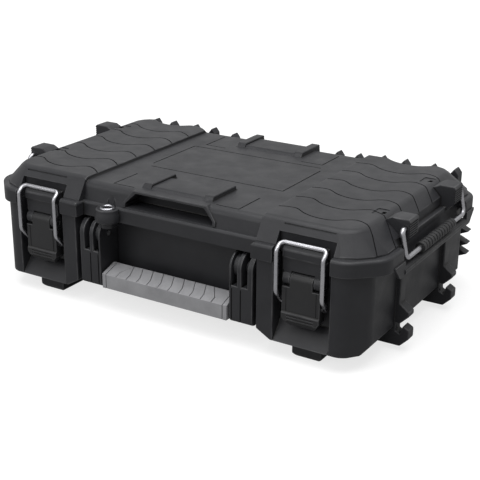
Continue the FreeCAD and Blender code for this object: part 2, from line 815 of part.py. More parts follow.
def base_hinge_cuts(side):
    """Room for the lid's knuckle, and the bore for one hinge pin."""
    base_spans, lid_span = hinge_spans(side)
    left = lid_span[0] - HINGE_GAP
    right = lid_span[1] + HINGE_GAP
    room = block(left, right, HINGE_Y - HINGE_CLEAR, FAR, HINGE_Z - HINGE_CLEAR, FAR)
    return [room, hinge_bore(base_spans)]


def hinge_bore(base_spans):
    """The bore of one hinge through all its knuckles."""
    left = base_spans[0][0] - SINK
    right = base_spans[1][1] + SINK
    return rod_x(left, right, HINGE_Y, HINGE_Z, HINGE_PIN_R + RUN_FIT)


def base_inside():
    """The room inside the base, its back lower edge sloping along with the outside."""
    room = prism_z(cavity_plan(0), FOOT_H + FLOOR_T, PARTING_Z + SINK)
    slope = BACK_CUT_Z / BACK_CUT_Y
    top_z = FOOT_H + BACK_CUT_Z + FLOOR_T * math.hypot(1.0, slope)
    heel = prism_x(
        [
            (BASE_BACK_Y, top_z),
            (BASE_BACK_Y, FOOT_H),
            (BASE_BACK_Y - (top_z - FOOT_H) / slope, FOOT_H),
        ],
        -FAR,
        FAR,
    )
    return carved(room, [heel])


def make_base_shell():
    """The base: a moulded tray with towers, bays, claws, feet and knuckles."""
    rear_foot_y = BASE_BACK_Y - REAR_FOOT_BACK - FOOT_LEN
    solids = [base_blank()]
    solids += both_sides([foot(BASE_FRONT_Y + FRONT_FOOT_BACK), foot(rear_foot_y)])
    solids += both_sides([side_claw(-CLAW_Y), side_claw(CLAW_Y)])
    solids += both_sides(corner_ribs() + base_lugs())
    shell = carved(joined(solids), [base_inside()] + both_sides([latch_bay()]))
    fittings = [base_eye_lug()] + both_sides([latch_keeper()] + handle_knuckles())
    handle_seat = RECESS_HALF_X + HANDLE_PIN_SEAT
    lever_left = LATCH_X - LEVER_HALF - SINK
    lever_right = LATCH_X + LEVER_HALF + SINK
    flange_room_r = EYE_LUG_R - EYE_LUG_RIM + RUN_FIT
    cuts = [
        rod_z(0, PARTING_Z, EYE_X, EYE_Y, EYE_TUBE_R),
        rod_z(EYE_LUG_LOW_Z - SINK, EYE_LUG_Z, EYE_X, EYE_Y, flange_room_r),
    ]
    cuts += both_sides(
        [
            rod_x(ARM_IN_X, handle_seat, HANDLE_Y, HANDLE_Z, HANDLE_PIN_R + RUN_FIT),
            rod_x(lever_left, lever_right, LEVER_PIVOT_Y, LEVER_PIVOT_Z, LATCH_PIN_R + RUN_FIT),
        ]
    )
    for side in (-1, 1):
        fittings += base_hinge_knuckles(side)
        cuts += base_hinge_cuts(side)
    return carved(joined([shell] + fittings), cuts)


def pad_solid():
    """The raised tread pad on the right half of the lid, before its grooves."""
    across = prism_y(
        [
            (PAD_IN_X, PAD_ROOT_Z),
            (PAD_IN_X, PAD_TOP_Z),
            (PAD_EDGE_X, PAD_TOP_Z),
            (PAD_SIDE_X, RIM_TOP_Z + PAD_FOOT_Z),
            (PAD_SIDE_X, PAD_ROOT_Z),
        ],
        -FAR,
        FAR,
    )
    along = prism_x(
        [
            (PAD_FRONT_Y, PAD_ROOT_Z),
            (PAD_FRONT_Y, RIM_TOP_Z + PAD_FOOT_Z / 2),
            (PAD_FRONT_EDGE_Y, PAD_TOP_Z),
            (PAD_BACK_EDGE_Y, PAD_TOP_Z),
            (PAD_BACK_Y, RIM_TOP_Z + PAD_FOOT_Z),
            (PAD_BACK_Y, PAD_ROOT_Z),
        ],
        PAD_IN_X,
        RIM_HALF_X,
    )
    corners = pad_corner(-1, PAD_FRONT_Y, PAD_FRONT_EDGE_Y)
    corners += pad_corner(1, PAD_BACK_Y, PAD_BACK_EDGE_Y)
    pad = across.common([along]).cut(corners)

    def outer_top(middle, edge):
        return middle.z > PAD_TOP_Z - NEAR and middle.x > PAD_IN_X + NEAR

    return rounded(pad, PAD_ROUND, outer_top)


def pad_corner(facing, foot_y, edge_y):
    """What the faces round an outer corner of a pad leave free, upright below and leaning in above."""
    foot_z = RIM_TOP_Z + PAD_FOOT_Z
    high_z = PAD_TOP_Z + PAD_ROUND
    pieces = []
    for across, along in PAD_CORNER_FACES:
        outward = Vector(across, facing * along, 0).normalize()
        sideways = outward.cross(Vector(0, 0, 1)) * FAR
        foot = corner_reach(outward, PAD_SIDE_X, foot_y, PAD_CORNER_FOOT_R)
        top = corner_reach(outward, PAD_EDGE_X, edge_y, PAD_CORNER_TOP_R)
        lean = (foot - top) / (PAD_TOP_Z - foot_z)
        profile = [
            (foot, PAD_ROOT_Z - SINK),
            (foot, foot_z),
            (top - lean * PAD_ROUND, high_z),
            (FAR, high_z),
            (FAR, PAD_ROOT_Z - SINK),
        ]
        points = [outward * reach - sideways + Vector(0, 0, z) for reach, z in profile]
        pieces.append(polygon_face(points).extrude(sideways * 2))
    return pieces


def corner_reach(outward, corner_x, corner_y, radius):
    """How far out a face that touches the round of a corner lies."""
    facing = 1 if outward.y > 0 else -1
    centre = Vector(corner_x - radius, corner_y - facing * radius, 0)
    return outward.dot(centre) + radius


def wave_strip(pad_x, run_y, depth):
    """The plan strip behind a wavy tread line, run_y being the line's straight middle run."""
    width = PAD_EDGE_X - PAD_IN_X
    wave = [(pad_x + across * width, run_y + along * TREAD_SWING) for across, along in TREAD_WAVE]
    edges = []
    for shift in (0, depth):
        curve = Part.BSplineCurve()
        curve.interpolate([Vector(x, y + shift, PAD_TOP_Z + SINK) for x, y in wave])
        edges.append(curve.toShape())
    for x, y in (wave[0], wave[-1]):
        low = Vector(x, y, PAD_TOP_Z + SINK)
        edges.append(Part.LineSegment(low, low + Vector(0, depth, 0)).toShape())
    return Part.Face(Part.Wire(Part.__sortEdges__(edges)))


def grooved_pad(side):
    """A tread pad with its lines and its wavy back slope. Both pads carry the same wave."""
    pad = pad_solid()
    if side < 0:
        pad = flipped(pad)
    slope = Vector(0, PAD_WAVE_Y, -PAD_WAVE_Z)
    pad = pad.cut([wave_strip(side * TREAD_X, PAD_WAVE_END_Y, 2 * PAD_SLOPE_BACK).extrude(slope)])
    core = pad.translated(Vector(0, 0, -TREAD_D))
    groove_z = PAD_TOP_Z - PAD_GROOVE_DROP
    left = side * LATCH_X - PAD_GROOVE_HALF
    right = side * LATCH_X + PAD_GROOVE_HALF
    groove = block(left, right, -FAR, PAD_FRONT_EDGE_Y + PAD_ROUND, groove_z, groove_z + PAD_GROOVE_W)
    lines = [groove.cut([pad.translated(Vector(0, PAD_GROOVE_D, 0))])]
    for index in range(TREAD_COUNT):
        run_y = PAD_FRONT_EDGE_Y + TREAD_START + index * TREAD_PITCH
        band = wave_strip(side * TREAD_X, run_y - TREAD_W / 2, TREAD_W)
        lines.append(band.extrude(Vector(0, 0, RIM_TOP_Z - PAD_TOP_Z - SINK)).cut([core]))
    return carved(pad, lines)


def lid_middle():
    """The lower middle of the lid between the pads."""
    profile = [
        (LID_FOOT_Y, PAD_ROOT_Z),
        (LID_FOOT_Y, RIM_TOP_Z - SINK),
        (LID_FRONT_EDGE_Y, LID_TOP_Z),
        (LID_BACK_EDGE_Y, LID_TOP_Z),
        (RIM_BACK_Y - SINK, RIM_TOP_Z + PAD_FOOT_Z),
        (RIM_BACK_Y - SINK, PAD_ROOT_Z),
    ]
    middle = prism_x(profile, -PAD_IN_X - SINK, PAD_IN_X + SINK)

    def top_edge(point, edge):
        return point.z > LID_TOP_Z - NEAR and abs(point.x) < NEAR

    return rounded(middle, PAD_ROUND, top_edge)


def press_line(x0, x1, y0, y1):
    """A line pressed into the lid top along X or Y."""
    half = LINE_W / 2
    return block(x0 - half, x1 + half, y0 - half, y1 + half, LID_TOP_Z - LINE_D, LID_TOP_Z + SINK)


def lid_lines():
    """The two open corners of the middle panel and the corners beside the rails."""
    right = PANEL_W / 2
    front = -PANEL_LEN / 2
    back = PANEL_LEN / 2
    lines = [
        press_line(PANEL_SHORT_X - right, right, front, front),
        press_line(right, right, front, back - PANEL_SHORT_Y),
        press_line(-right, right - PANEL_SHORT_X, back, back),
        press_line(-right, -right, front + PANEL_SHORT_Y, back),
    ]
    inner = RAIL_OUT_X + CORNER_LINE_GAP
    outer = inner + CORNER_LINE_W
    for side in (-1, 1):
        x_low, x_high = sorted((side * inner, side * outer))
        for y0 in (RAIL_REAR_Y - REAR_LINE_AHEAD, RAIL_FRONT_Y - FRONT_LINE_AHEAD):
            lines.append(press_line(x_low, x_high, y0, y0))
            lines.append(press_line(side * outer, side * outer, y0, y0 + CORNER_LINE_LEN))
    return lines


def lid_slope_z(y):
    """The height of the lid's middle at a place along it, over the flat and the back slope."""
    fall = (LID_TOP_Z - RIM_TOP_Z - PAD_FOOT_Z) / (LID_SLOPE_BACK - SINK)
    return LID_TOP_Z - max(0.0, y - LID_BACK_EDGE_Y) * fall


def raised_bar(y0, length, height, tail):
    """The side profile of a bar on the lid top, its end reaching down to the slope below it."""
    end = y0 + length
    profile = [
        (y0, LID_TOP_Z - SINK),
        (y0 + RAIL_H, LID_TOP_Z + height),
        (end - tail, LID_TOP_Z + height),
        (end, lid_slope_z(end) - SINK),
    ]
    if end > LID_BACK_EDGE_Y:
        profile.append((LID_BACK_EDGE_Y, LID_TOP_Z - SINK))
    return profile


def stacking_rails():
    """Two pairs of raised rails that the next case stacks on, with a low plate between each pair."""
    pieces = []
    inner = RAIL_OUT_X - RAIL_W

    def top_edge(middle, edge):
        return middle.z > LID_TOP_Z + RAIL_H - NEAR

    for y0 in (RAIL_FRONT_Y, RAIL_REAR_Y):
        rail = prism_x(raised_bar(y0, RAIL_LEN, RAIL_H, RAIL_TAIL), inner, RAIL_OUT_X)
        pieces += both_sides([rounded(rail, RAIL_ROUND, top_edge)])
        plate = raised_bar(y0, RAIL_LEN - PLATE_SHORT, PLATE_H, RAIL_TAIL)
        pieces.append(prism_x(plate, -inner - SINK, inner + SINK))
    return pieces


def pocket_outline(grow):
    """The finger pocket's opening as seen from the front, grown at its sides and top."""
    low = POCKET_W / 2 + grow
    top = POCKET_TOP_W / 2 + grow
    side_z = POCKET_LOW_Z + POCKET_SIDE_H
    top_z = POCKET_TOP_Z + grow
    right = [(low, POCKET_LOW_Z), (low, side_z), (top, top_z)]
    return right + [(-x, z) for x, z in reversed(right)]


def pocket_frame():
    """The raised border round the finger pocket, following the sloping front."""
    slope = LID_SLOPE_FRONT / (LID_RISE + SINK)
    front = LID_FOOT_Y - POCKET_PROUD
    low_z = RIM_TOP_Z - SINK
    top_z = POCKET_TOP_Z + POCKET_FRAME
    top_y = front + slope * (top_z - low_z)
    back = BASE_WALL + POCKET_PROUD
    band = prism_x(
        [(front, low_z), (top_y, top_z), (top_y + back, top_z), (front + back, low_z)], -FAR, FAR
    )
    ring = prism_y(pocket_outline(POCKET_FRAME), RIM_FRONT_Y, RIM_MID_Y + POCKET_DEPTH)
    return ring.common([band])


def side_bracket(y_low):
    """A block on the lid's side that one end of a side bail turns in, its outer face lined."""
    profile = [
        (BRACKET_IN_X - BRACKET_ROOT, RIM_TOP_Z),
        (BRACKET_IN_X - BRACKET_ROOT, BRACKET_TOP_Z - BRACKET_SLOPE_Z),
        (BRACKET_IN_X - BRACKET_ROOT + BRACKET_SLOPE_X, BRACKET_TOP_Z),
        (BRACKET_OUT_X - BRACKET_CUT, BRACKET_TOP_Z),
        (BRACKET_OUT_X, BRACKET_TOP_Z - BRACKET_CUT),
        (BRACKET_OUT_X, BRACKET_LOW_Z + BRACKET_CHIN),
        (BRACKET_OUT_X - BRACKET_CHIN, BRACKET_LOW_Z),
        (SIDE_POCKET_X, RIM_LOW_Z + BRACKET_TAIL_Z),
        (SIDE_POCKET_X - LID_WALL, RIM_LOW_Z + BRACKET_TAIL_Z),
    ]
    pitch = (BRACKET_H - 2 * BRACKET_LINE_MARGIN) / BRACKET_LINE_COUNT
    start = y_low - SINK
    end = y_low + BRACKET_W + SINK
    grooves = []
    for index in range(BRACKET_LINE_COUNT):
        z0 = BRACKET_LOW_Z + BRACKET_LINE_MARGIN + SINK + index * pitch
        grooves.append(block(BRACKET_OUT_X - BRACKET_LINE_D, FAR, start, end, z0, z0 + pitch / 2))
    return carved(prism_y(profile, y_low, y_low + BRACKET_W), grooves)


def side_ledge():
    """The low ledge under a side bail, with its pointed ends."""
    inner = BASE_HALF_X + SKIRT_T / 2
    root_z = RIM_LOW_Z + LEDGE_ROOT_Z
    shelf = prism_y(
        [
            (inner, LEDGE_LOW_Z),
            (LEDGE_OUT_X - LEDGE_CUT, LEDGE_LOW_Z),
            (LEDGE_OUT_X, LEDGE_LOW_Z + LEDGE_CUT),
            (LEDGE_OUT_X, LEDGE_TOP_Z - LEDGE_EDGE_Z),
            (LEDGE_OUT_X - LEDGE_LIP_X, LEDGE_TOP_Z + LEDGE_LIP_Z),
            (SIDE_POCKET_X + SKIRT_T, LEDGE_TOP_Z),
            (SIDE_POCKET_X, root_z),
            (inner, root_z),
        ],
        -SIDE_POCKET_Y,
        SIDE_POCKET_Y,
    )
    start = SIDE_POCKET_Y - SINK
    tab_top = RIM_LOW_Z + SINK + LEDGE_TAB_H
    outline = [
        (start, LEDGE_LOW_Z),
        (SIDE_POCKET_Y + LEDGE_TAB_FOOT, LEDGE_LOW_Z),
        (LEDGE_TAB_Y, RIM_LOW_Z + SINK),
        (LEDGE_TAB_Y, tab_top),
        (start, tab_top),
    ]
    pieces = [shelf]
    for side in (-1, 1):
        points = [(side * y, z) for y, z in outline]
        pieces.append(prism_x(points, RIM_HALF_X - SKIRT_T, LEDGE_OUT_X - SINK))
    return pieces


def strike_block():
    """The shelf on the lid that a latch wire hooks over."""
    back = BAY_LID_BACK_Y + SINK
    low_z = PARTING_Z + SEAT_GAP
    profile = [
        (back, low_z),
        (STRIKE_FRONT_Y, low_z),
        (STRIKE_FRONT_Y, STRIKE_TOP_Z - STRIKE_CUT_Z),
        (STRIKE_FRONT_Y + STRIKE_CUT_Y, STRIKE_TOP_Z),
        (back, STRIKE_TOP_Z),
    ]
    return prism_x(profile, LATCH_X - KEEPER_HALF, LATCH_X + KEEPER_HALF)


def lid_lugs():
    """Gable-topped standing lugs on the back of the lid, clear of the seal and the hinges."""
    upper_y = RIM_BACK_Y - LUG_W
    lugs = [lid_lug(inset, LUG_DROP, SEAL_CLEAR_Y, HINGE_Z + LUG_LIFT) for inset in LUG_INS]
    lugs += [lid_lug(inset, LUG_DROP, upper_y, SEAL_CLEAR_Z) for inset in LUG_INS]
    hinge_top = HINGE_Z + HINGE_CLEAR
    return lugs + [lid_lug(inset, HINGE_LUG_DROP, upper_y, hinge_top) for inset in HINGE_LUG_INS]


def lid_lug(inset, drop, y_front, z_low):
    """One lug, measured in from the base's side and down from the lid's top."""
    lug_x = BASE_HALF_X - inset
    left = lug_x - LUG_W / 2
    right = lug_x + LUG_W / 2
    top_z = LID_TOP_Z - drop
    gable_z = top_z - LUG_GABLE_H
    profile = [(left, z_low), (right, z_low), (right, gable_z), (lug_x, top_z), (left, gable_z)]
    return prism_y(profile, y_front, LUG_LID_BACK_Y)


def lid_blank():
    """The outside of the lid: its rim, its middle and its two pads."""
    step_x = RECESS_HALF_X - RIM_OVER_STEP
    plan = stepped_plan(RIM_HALF_X, RIM_FRONT_Y, RIM_BACK_Y, RIM_MID_Y, step_x, RIM_CORNER, RIM_CORNER)

    def top_edge(middle, edge):
        return middle.z > RIM_TOP_Z - NEAR

    rim = rounded(prism_z(plan, RIM_LOW_Z, RIM_TOP_Z), RIM_CORNER_R, rim_corner)
    rim = rounded(rim, RIM_ROUND, top_edge)
    return joined([rim, lid_middle(), grooved_pad(1), grooved_pad(-1)])


def rim_corner(middle, edge):
    """True for an upright edge of the rim's outer corners."""
    return upright(edge) and abs(middle.x) > RIM_HALF_X - RIM_CORNER - SKIRT_T - NEAR


def lid_hollows():
    """The space inside the lid: over the cavity, in the middle and under the pads."""
    side = PAD_EDGE_X - LID_SIDE_WALL
    front = PAD_FRONT_EDGE_Y + LID_FRONT_WALL
    back = PAD_BACK_EDGE_Y - LID_BACK_WALL
    room = block(-side, side, front, back, RIM_LOW_Z, LID_TOP_Z - LID_WALL)
    pocket_side = POCKET_W / 2 + LID_WALL
    pocket_back = RIM_MID_Y + POCKET_DEPTH + LID_WALL
    pocket_core = block(-pocket_side, pocket_side, RIM_FRONT_Y, pocket_back, RIM_LOW_Z, FAR)
    step_x = CAVITY_STEP_X
    front_core = block(-step_x, step_x, RIM_FRONT_Y, CAVITY_MID_Y, RIM_LOW_Z, FAR)
    pad_back = PAD_WAVE_END_Y - 2 * LID_WALL
    pad_room = block(PAD_IN_X + LID_WALL, side, front, pad_back, RIM_TOP_Z, PAD_TOP_Z - LID_WALL)
    pad_room = pad_room.cut([front_core])
    over_cavity = prism_z(cavity_plan(0), RIM_LOW_Z, RIM_TOP_Z)
    return [room.cut([pocket_core, front_core]), over_cavity] + both_sides([pad_room])


def lid_joint_cuts():
    """What the lid's underside leaves free: the skirt's inside, the back and the seal's groove."""
    plan = stepped_plan(
        RIM_HALF_X - SKIRT_T,
        RIM_FRONT_Y + SKIRT_T,
        RIM_BACK_Y + SINK,
        RECESS_BACK_Y - SIDE_GAP,
        RECESS_HALF_X - SIDE_GAP,
        RIM_CORNER,
        RIM_CORNER,
    )
    low_z = RIM_LOW_Z - SINK
    lip_z = PARTING_Z + SEAT_GAP
    groove_z = PARTING_Z + SEAL_H + 2 * SEAT_GAP
    skirt = rounded(prism_z(plan, low_z, lip_z), RIM_CORNER_R - SKIRT_T, rim_corner)
    back_relief = block(-FAR, FAR, RIM_BACK_Y - RIM_CORNER, FAR, low_z, lip_z)
    groove = prism_z(cavity_plan(SEAL_IN + SEAL_W + SEAT_GAP), PARTING_Z, groove_z)
    tongue = prism_z(cavity_plan(SEAL_IN - SEAT_GAP), PARTING_Z - SINK, RIM_TOP_Z)
    return [skirt, back_relief, groove.cut([tongue])]


def bracket_cuts(y_low):
    """The shallow field on the pad beside a bracket, and the deep notch at the bracket's root."""
    root_x = BRACKET_IN_X - BRACKET_ROOT
    middle = y_low + BRACKET_W / 2
    top = PAD_TOP_Z + SINK
    low_y = y_low + SCAR_RIM
    high_y = y_low + BRACKET_W - SCAR_RIM
    field = block(root_x - SCAR_IN, root_x, low_y, high_y, PAD_TOP_Z - SCAR_D, top)
    notch_y = middle - NOTCH_Y / 2
    notch = block(root_x - NOTCH_X, root_x, notch_y, notch_y + NOTCH_Y, PAD_TOP_Z - NOTCH_D, top)
    return [field, notch]


def lid_outer_cuts():
    """The latch bay, the side pocket and the bracket fields in the right half of the lid."""
    low_z = RIM_LOW_Z - SINK
    left = LATCH_X - BAY_HALF
    right = LATCH_X + BAY_HALF
    bay = block(left, right, -FAR, BAY_LID_BACK_Y, low_z, BAY_LID_TOP_Z)
    top = PAD_TOP_Z + SINK
    pocket = block(SIDE_POCKET_X, FAR, -SIDE_POCKET_Y, SIDE_POCKET_Y, low_z, top)
    roll_x = RIM_HALF_X - ROLL_IN
    under_roll = block(roll_x, FAR, -BRACKET_IN_Y, BRACKET_IN_Y, RIM_TOP_Z + SINK, top)
    cuts = [bay, pocket, under_roll]
    return cuts + bracket_cuts(BRACKET_IN_Y) + bracket_cuts(-BRACKET_OUT_Y)


def lid_fittings():
    """What stands on the lid: rails, pocket frame, padlock boss, ledges, brackets and strikes."""
    brackets = [side_bracket(BRACKET_IN_Y), side_bracket(-BRACKET_OUT_Y)]
    paired = side_ledge() + brackets + [strike_block()] + lid_lugs()
    return stacking_rails() + [pocket_frame(), eye_boss()] + both_sides(paired)


def eye_boss():
    """The turned boss of the padlock eye, swelling out below its flat top."""
    profile = [
        (0, RIM_LOW_Z),
        (EYE_BOSS_R, RIM_LOW_Z),
        (EYE_BOWL_R, RIM_LOW_Z + EYE_BOWL_LOW),
        (EYE_BOWL_R, RIM_LOW_Z + EYE_BOWL_HIGH),
        (EYE_BOSS_R, RIM_LOW_Z + EYE_BOWL_TOP),
        (EYE_BOSS_R, EYE_BOSS_Z),
        (0, EYE_BOSS_Z),
    ]
    face = polygon_face([Vector(EYE_X + reach, EYE_Y, z) for reach, z in profile])
    return face.revolve(Vector(EYE_X, EYE_Y, 0), Vector(0, 0, 1), 360)


def bail_bores():
    """The bores of the two right-hand brackets."""
    start = BAIL_END_Y - SINK
    end = BRACKET_OUT_Y + SINK
    radius = BAIL_R + RUN_FIT
    return [rod_y(start, end, BAIL_X, BAIL_Z, radius), rod_y(-end, -start, BAIL_X, BAIL_Z, radius)]


def make_lid_shell():
    """The lid: rim, tread pads, rails, finger pocket, brackets and strikes."""
    cuts = lid_joint_cuts() + lid_hollows() + both_sides(lid_outer_cuts()) + lid_lines()
    shell = joined([carved(lid_blank(), cuts)] + lid_fittings())
    bores = [
        prism_y(pocket_outline(0), RIM_FRONT_Y, RIM_MID_Y + POCKET_DEPTH),
        rod_z(RIM_LOW_Z - SINK, LID_TOP_Z, EYE_X, EYE_Y, EYE_TUBE_R),
        rod_z(EYE_BOSS_Z, LID_TOP_Z, EYE_X, EYE_Y, EYE_FLANGE_R + SIDE_GAP),
    ]
    bores += both_sides(bail_bores())
    for side in (-1, 1):
        base_spans, lid_span = hinge_spans(side)
        left = base_spans[0][0] - HINGE_GAP
        right = base_spans[1][1] + HINGE_GAP
        room = block(left, right, HINGE_Y - HINGE_CLEAR, FAR, RIM_LOW_Z, HINGE_Z + HINGE_CLEAR)
        knuckle = rod_x(lid_span[0], lid_span[1], HINGE_Y, HINGE_Z, HINGE_R)
        web_z = HINGE_Z + SEAT_GAP
        web = block(lid_span[0], lid_span[1], SEAL_CLEAR_Y, HINGE_Y, web_z, HINGE_Z + HINGE_R)
        shell = joined([carved(shell, [room]), knuckle, web])
        bores.append(hinge_bore(base_spans))
    return carved(shell, bores)


def make_lid_seal():
    """The rubber seal pressed into the groove of the lid."""
    low = PARTING_Z + SEAT_GAP
    ring = prism_z(cavity_plan(SEAL_IN + SEAL_W), low, low + SEAL_H)
    return ring.cut([prism_z(cavity_plan(SEAL_IN), low - SINK, low + SEAL_H + SINK)])


def lever_bores():
    """The bores in the right-hand lever for its pin and for the two turned-in wire ends."""
    left = LATCH_X - LEVER_HALF
    right = LATCH_X + LEVER_HALF
    wire_bore = WIRE_R + RUN_FIT
    inner = WIRE_PIVOT_IN - SEAT_GAP
    return [
        rod_x(left, right, LEVER_PIVOT_Y, LEVER_PIVOT_Z, LATCH_PIN_R + RUN_FIT),
        rod_x(LATCH_X + inner, right + SINK, WIRE_PIVOT_Y, WIRE_PIVOT_Z, wire_bore),
        rod_x(left - SINK, LATCH_X - inner, WIRE_PIVOT_Y, WIRE_PIVOT_Z, wire_bore),
    ]


def lever_grip_lines(front):
    """The finger lines across the raised lower front of the right-hand lever."""
    lines = []
    left = LATCH_X - LEVER_HALF + GRIP_LINE_IN
    right = LATCH_X + LEVER_HALF - GRIP_LINE_IN
    face = front - LEVER_PAD_OUT
    for index in range(GRIP_LINE_COUNT):
        z1 = LEVER_BOTTOM_Z + GRIP_LINE_RISE - index * GRIP_LINE_PITCH
        lines.append(block(left, right, face - SINK, face + GRIP_LINE_D, z1 - GRIP_LINE_W, z1))
    return lines


def make_latch_lever():
    """The right-hand latch lever, a hollow-backed plate with a tab for its pin."""
    front = LEVER_PIVOT_Y - LEVER_FRONT_R
    back = front + LEVER_DEPTH
    shoulder = LEVER_PIVOT_Z - EAR_R - 2 * SEAT_GAP
    face = front - LEVER_PAD_OUT
    pad_top = LEVER_BOTTOM_Z + LEVER_PAD_H
    profile = [
        (front, shoulder),
        (front, pad_top),
        (face, pad_top - LEVER_PAD_IN),
        (face, LEVER_BOTTOM_Z + LEVER_TIP_H),
        (front + LEVER_TIP_Y, LEVER_BOTTOM_Z),
        (back - LEVER_HEEL, LEVER_BOTTOM_Z),
        (back, LEVER_BOTTOM_Z + LEVER_HEEL_H),
        (back, shoulder),
    ]
    half_front = [
        (LEVER_HALF - LEVER_CORNER_X, LEVER_BOTTOM_Z),
        (LEVER_HALF, LEVER_BOTTOM_Z + LEVER_CORNER_Z),
        (LEVER_HALF, shoulder),
    ]
    outline = half_front + [(-x, z) for x, z in reversed(half_front)]
    outline = [(LATCH_X + x, z) for x, z in outline]
    plate = prism_x(profile, LATCH_X - LEVER_HALF, LATCH_X + LEVER_HALF)
    plate = plate.common([prism_y(outline, face - SINK, back + SINK)])
    left = LATCH_X - LEVER_TAB_HALF
    right = LATCH_X + LEVER_TAB_HALF
    tab = block(left, right, front, back, shoulder - SINK, LEVER_PIVOT_Z)
    nose = rod_x(left, right, LEVER_PIVOT_Y, LEVER_PIVOT_Z, LEVER_FRONT_R)
    inside = LEVER_HALF - LEVER_CHEEK
    low_z = LEVER_BOTTOM_Z + LEVER_TIP_H
    high_z = shoulder - LEVER_TOP_RIB
    hollow = block(LATCH_X - inside, LATCH_X + inside, front + LEVER_SKIN, back + SINK, low_z, high_z)
    cuts = [hollow] + lever_grip_lines(front) + lever_bores()
    return carved(joined([plate, tab, nose]), cuts)


def make_latch_bail():
    """The right-hand latch wire, from its turned-in ends up to the bar that hooks over the lid."""
    half = [
        Vector(WIRE_PIVOT_IN, WIRE_PIVOT_Y, WIRE_PIVOT_Z),
        Vector(WIRE_HALF, WIRE_PIVOT_Y, WIRE_PIVOT_Z),
        Vector(WIRE_HALF, WIRE_FRONT_Y, WIRE_PIVOT_Z + WIRE_KNEE_H),
        Vector(WIRE_HALF, WIRE_FRONT_Y, WIRE_BAR_Z - WIRE_HOOK_H),
        Vector(WIRE_HALF, WIRE_BAR_Y, WIRE_BAR_Z),
    ]
    other = [Vector(-point.x, point.y, point.z) for point in reversed(half)]
    points = [point + Vector(LATCH_X, 0, 0) for point in half + other]
    radii = [WIRE_END_BEND, WIRE_KNEE_BEND, WIRE_SHOULDER_BEND, WIRE_BAR_BEND]
    return wire_form(points, radii + list(reversed(radii)), WIRE_R)


def handle_arm():
    """The right-hand arm of the handle, forked round its knuckles, with two lines on its front."""
    front = HANDLE_Y - HANDLE_ARM_R
    back = HANDLE_Y + HANDLE_ARM_R
    middle_x = (ARM_IN_X + ARM_OUT_X) / 2

    def low_long_edge(middle, edge):
        return middle.z < ARM_LOW_Z + NEAR and abs(middle.x - middle_x) < NEAR

    leg = block(ARM_IN_X, ARM_OUT_X, front, back, ARM_LOW_Z, HANDLE_Z)
    leg = rounded(leg, ARM_ROUND, low_long_edge)
    arm = joined([leg, rod_x(ARM_IN_X, ARM_OUT_X, HANDLE_Y, HANDLE_Z, HANDLE_ARM_R)])
    pin_bore = HANDLE_PIN_R + RUN_FIT
    cuts = [rod_x(ARM_IN_X - SINK, ARM_OUT_X + SINK, HANDLE_Y, HANDLE_Z, pin_bore)]
    for low, high in (KNUCKLE_SLOT, HOOK_SLOT):
        cuts.append(block(low, high, front - SINK, back + SINK, SLOT_LOW_Z, FAR))
    line_top = SLOT_LOW_Z - ARM_ROUND / 2
    for line_x in (KNUCKLE_SLOT[0], HOOK_SLOT[0] - ARM_LINE_W):
        low_z = ARM_LOW_Z - SINK
        line_end = line_x + ARM_LINE_W
        cuts.append(block(line_x, line_end, front - SINK, front + ARM_LINE_D, low_z, line_top))
    return carved(arm, cuts)


def core_bar(reach, grow):
    """The bar inside the grip, out to a reach on both sides, grown all round."""
    half_w = CORE_W / 2 + grow
    half_h = CORE_H / 2 + grow
    return block(-reach, reach, CORE_Y - half_w, CORE_Y + half_w, CORE_Z - half_h, CORE_Z + half_h)


def make_handle_frame():
    """The handle's two arms and the core bar that joins them through the grip."""
    return joined(both_sides([handle_arm()]) + [core_bar(ARM_IN_X + SINK, 0)])


def make_handle_grip():
    """The soft grip round the handle's core bar, an eight-sided section."""
    front = HANDLE_Y - GRIP_FRONT
    back = front + GRIP_DEPTH
    top_z = GRIP_LOW_Z + GRIP_H
    profile = [
        (front, GRIP_LOW_Z + GRIP_FRONT_CUT),
        (front, GRIP_LOW_Z + GRIP_FACE_H),
        (front + GRIP_SLOPE, top_z),
        (back - GRIP_CUT, top_z),
        (back, top_z - GRIP_CUT),
        (back, GRIP_LOW_Z + GRIP_CUT),
        (back - GRIP_CUT, GRIP_LOW_Z),
        (front + GRIP_FRONT_CUT, GRIP_LOW_Z),
    ]
    half = ARM_IN_X - GRIP_END_GAP
    return carved(prism_x(profile, -half, half), [core_bar(FAR, RUN_FIT)])


def make_side_bail():
    """The right-hand side bail, a wire loop whose ends turn in the lid's brackets."""
    half = [
        Vector(BAIL_X, -BAIL_END_Y, BAIL_Z),
        Vector(BAIL_X, -BAIL_HALF_Y, BAIL_Z),
        Vector(BAIL_BAR_X, -BAIL_HALF_Y, BAIL_BAR_Z),
    ]
    other = [Vector(point.x, -point.y, point.z) for point in reversed(half)]
    return wire_form(half + other, [BAIL_END_BEND, BAIL_BEND, BAIL_BEND, BAIL_END_BEND], BAIL_R)


def make_bail_sleeve():
    """The ribbed sleeve on the bar of the right-hand side bail."""
    core_r = SLEEVE_R - SLEEVE_RIB_D
    pieces = [rod_y(-SLEEVE_HALF_Y, SLEEVE_HALF_Y, BAIL_BAR_X, BAIL_BAR_Z, core_r)]
    count = int(2 * SLEEVE_HALF_Y / SLEEVE_RIB_PITCH)
    pitch = 2 * SLEEVE_HALF_Y / count
    margin = pitch * (1 - SLEEVE_RIB_SHARE) / 2
    for index in range(count):
        y0 = -SLEEVE_HALF_Y + index * pitch + margin
        y1 = y0 + pitch * SLEEVE_RIB_SHARE
        pieces.append(rod_y(y0, y1, BAIL_BAR_X, BAIL_BAR_Z, SLEEVE_R))
    bore = rod_y(-FAR, FAR, BAIL_BAR_X, BAIL_BAR_Z, BAIL_R + RUN_FIT)
    return carved(joined(pieces), [bore])


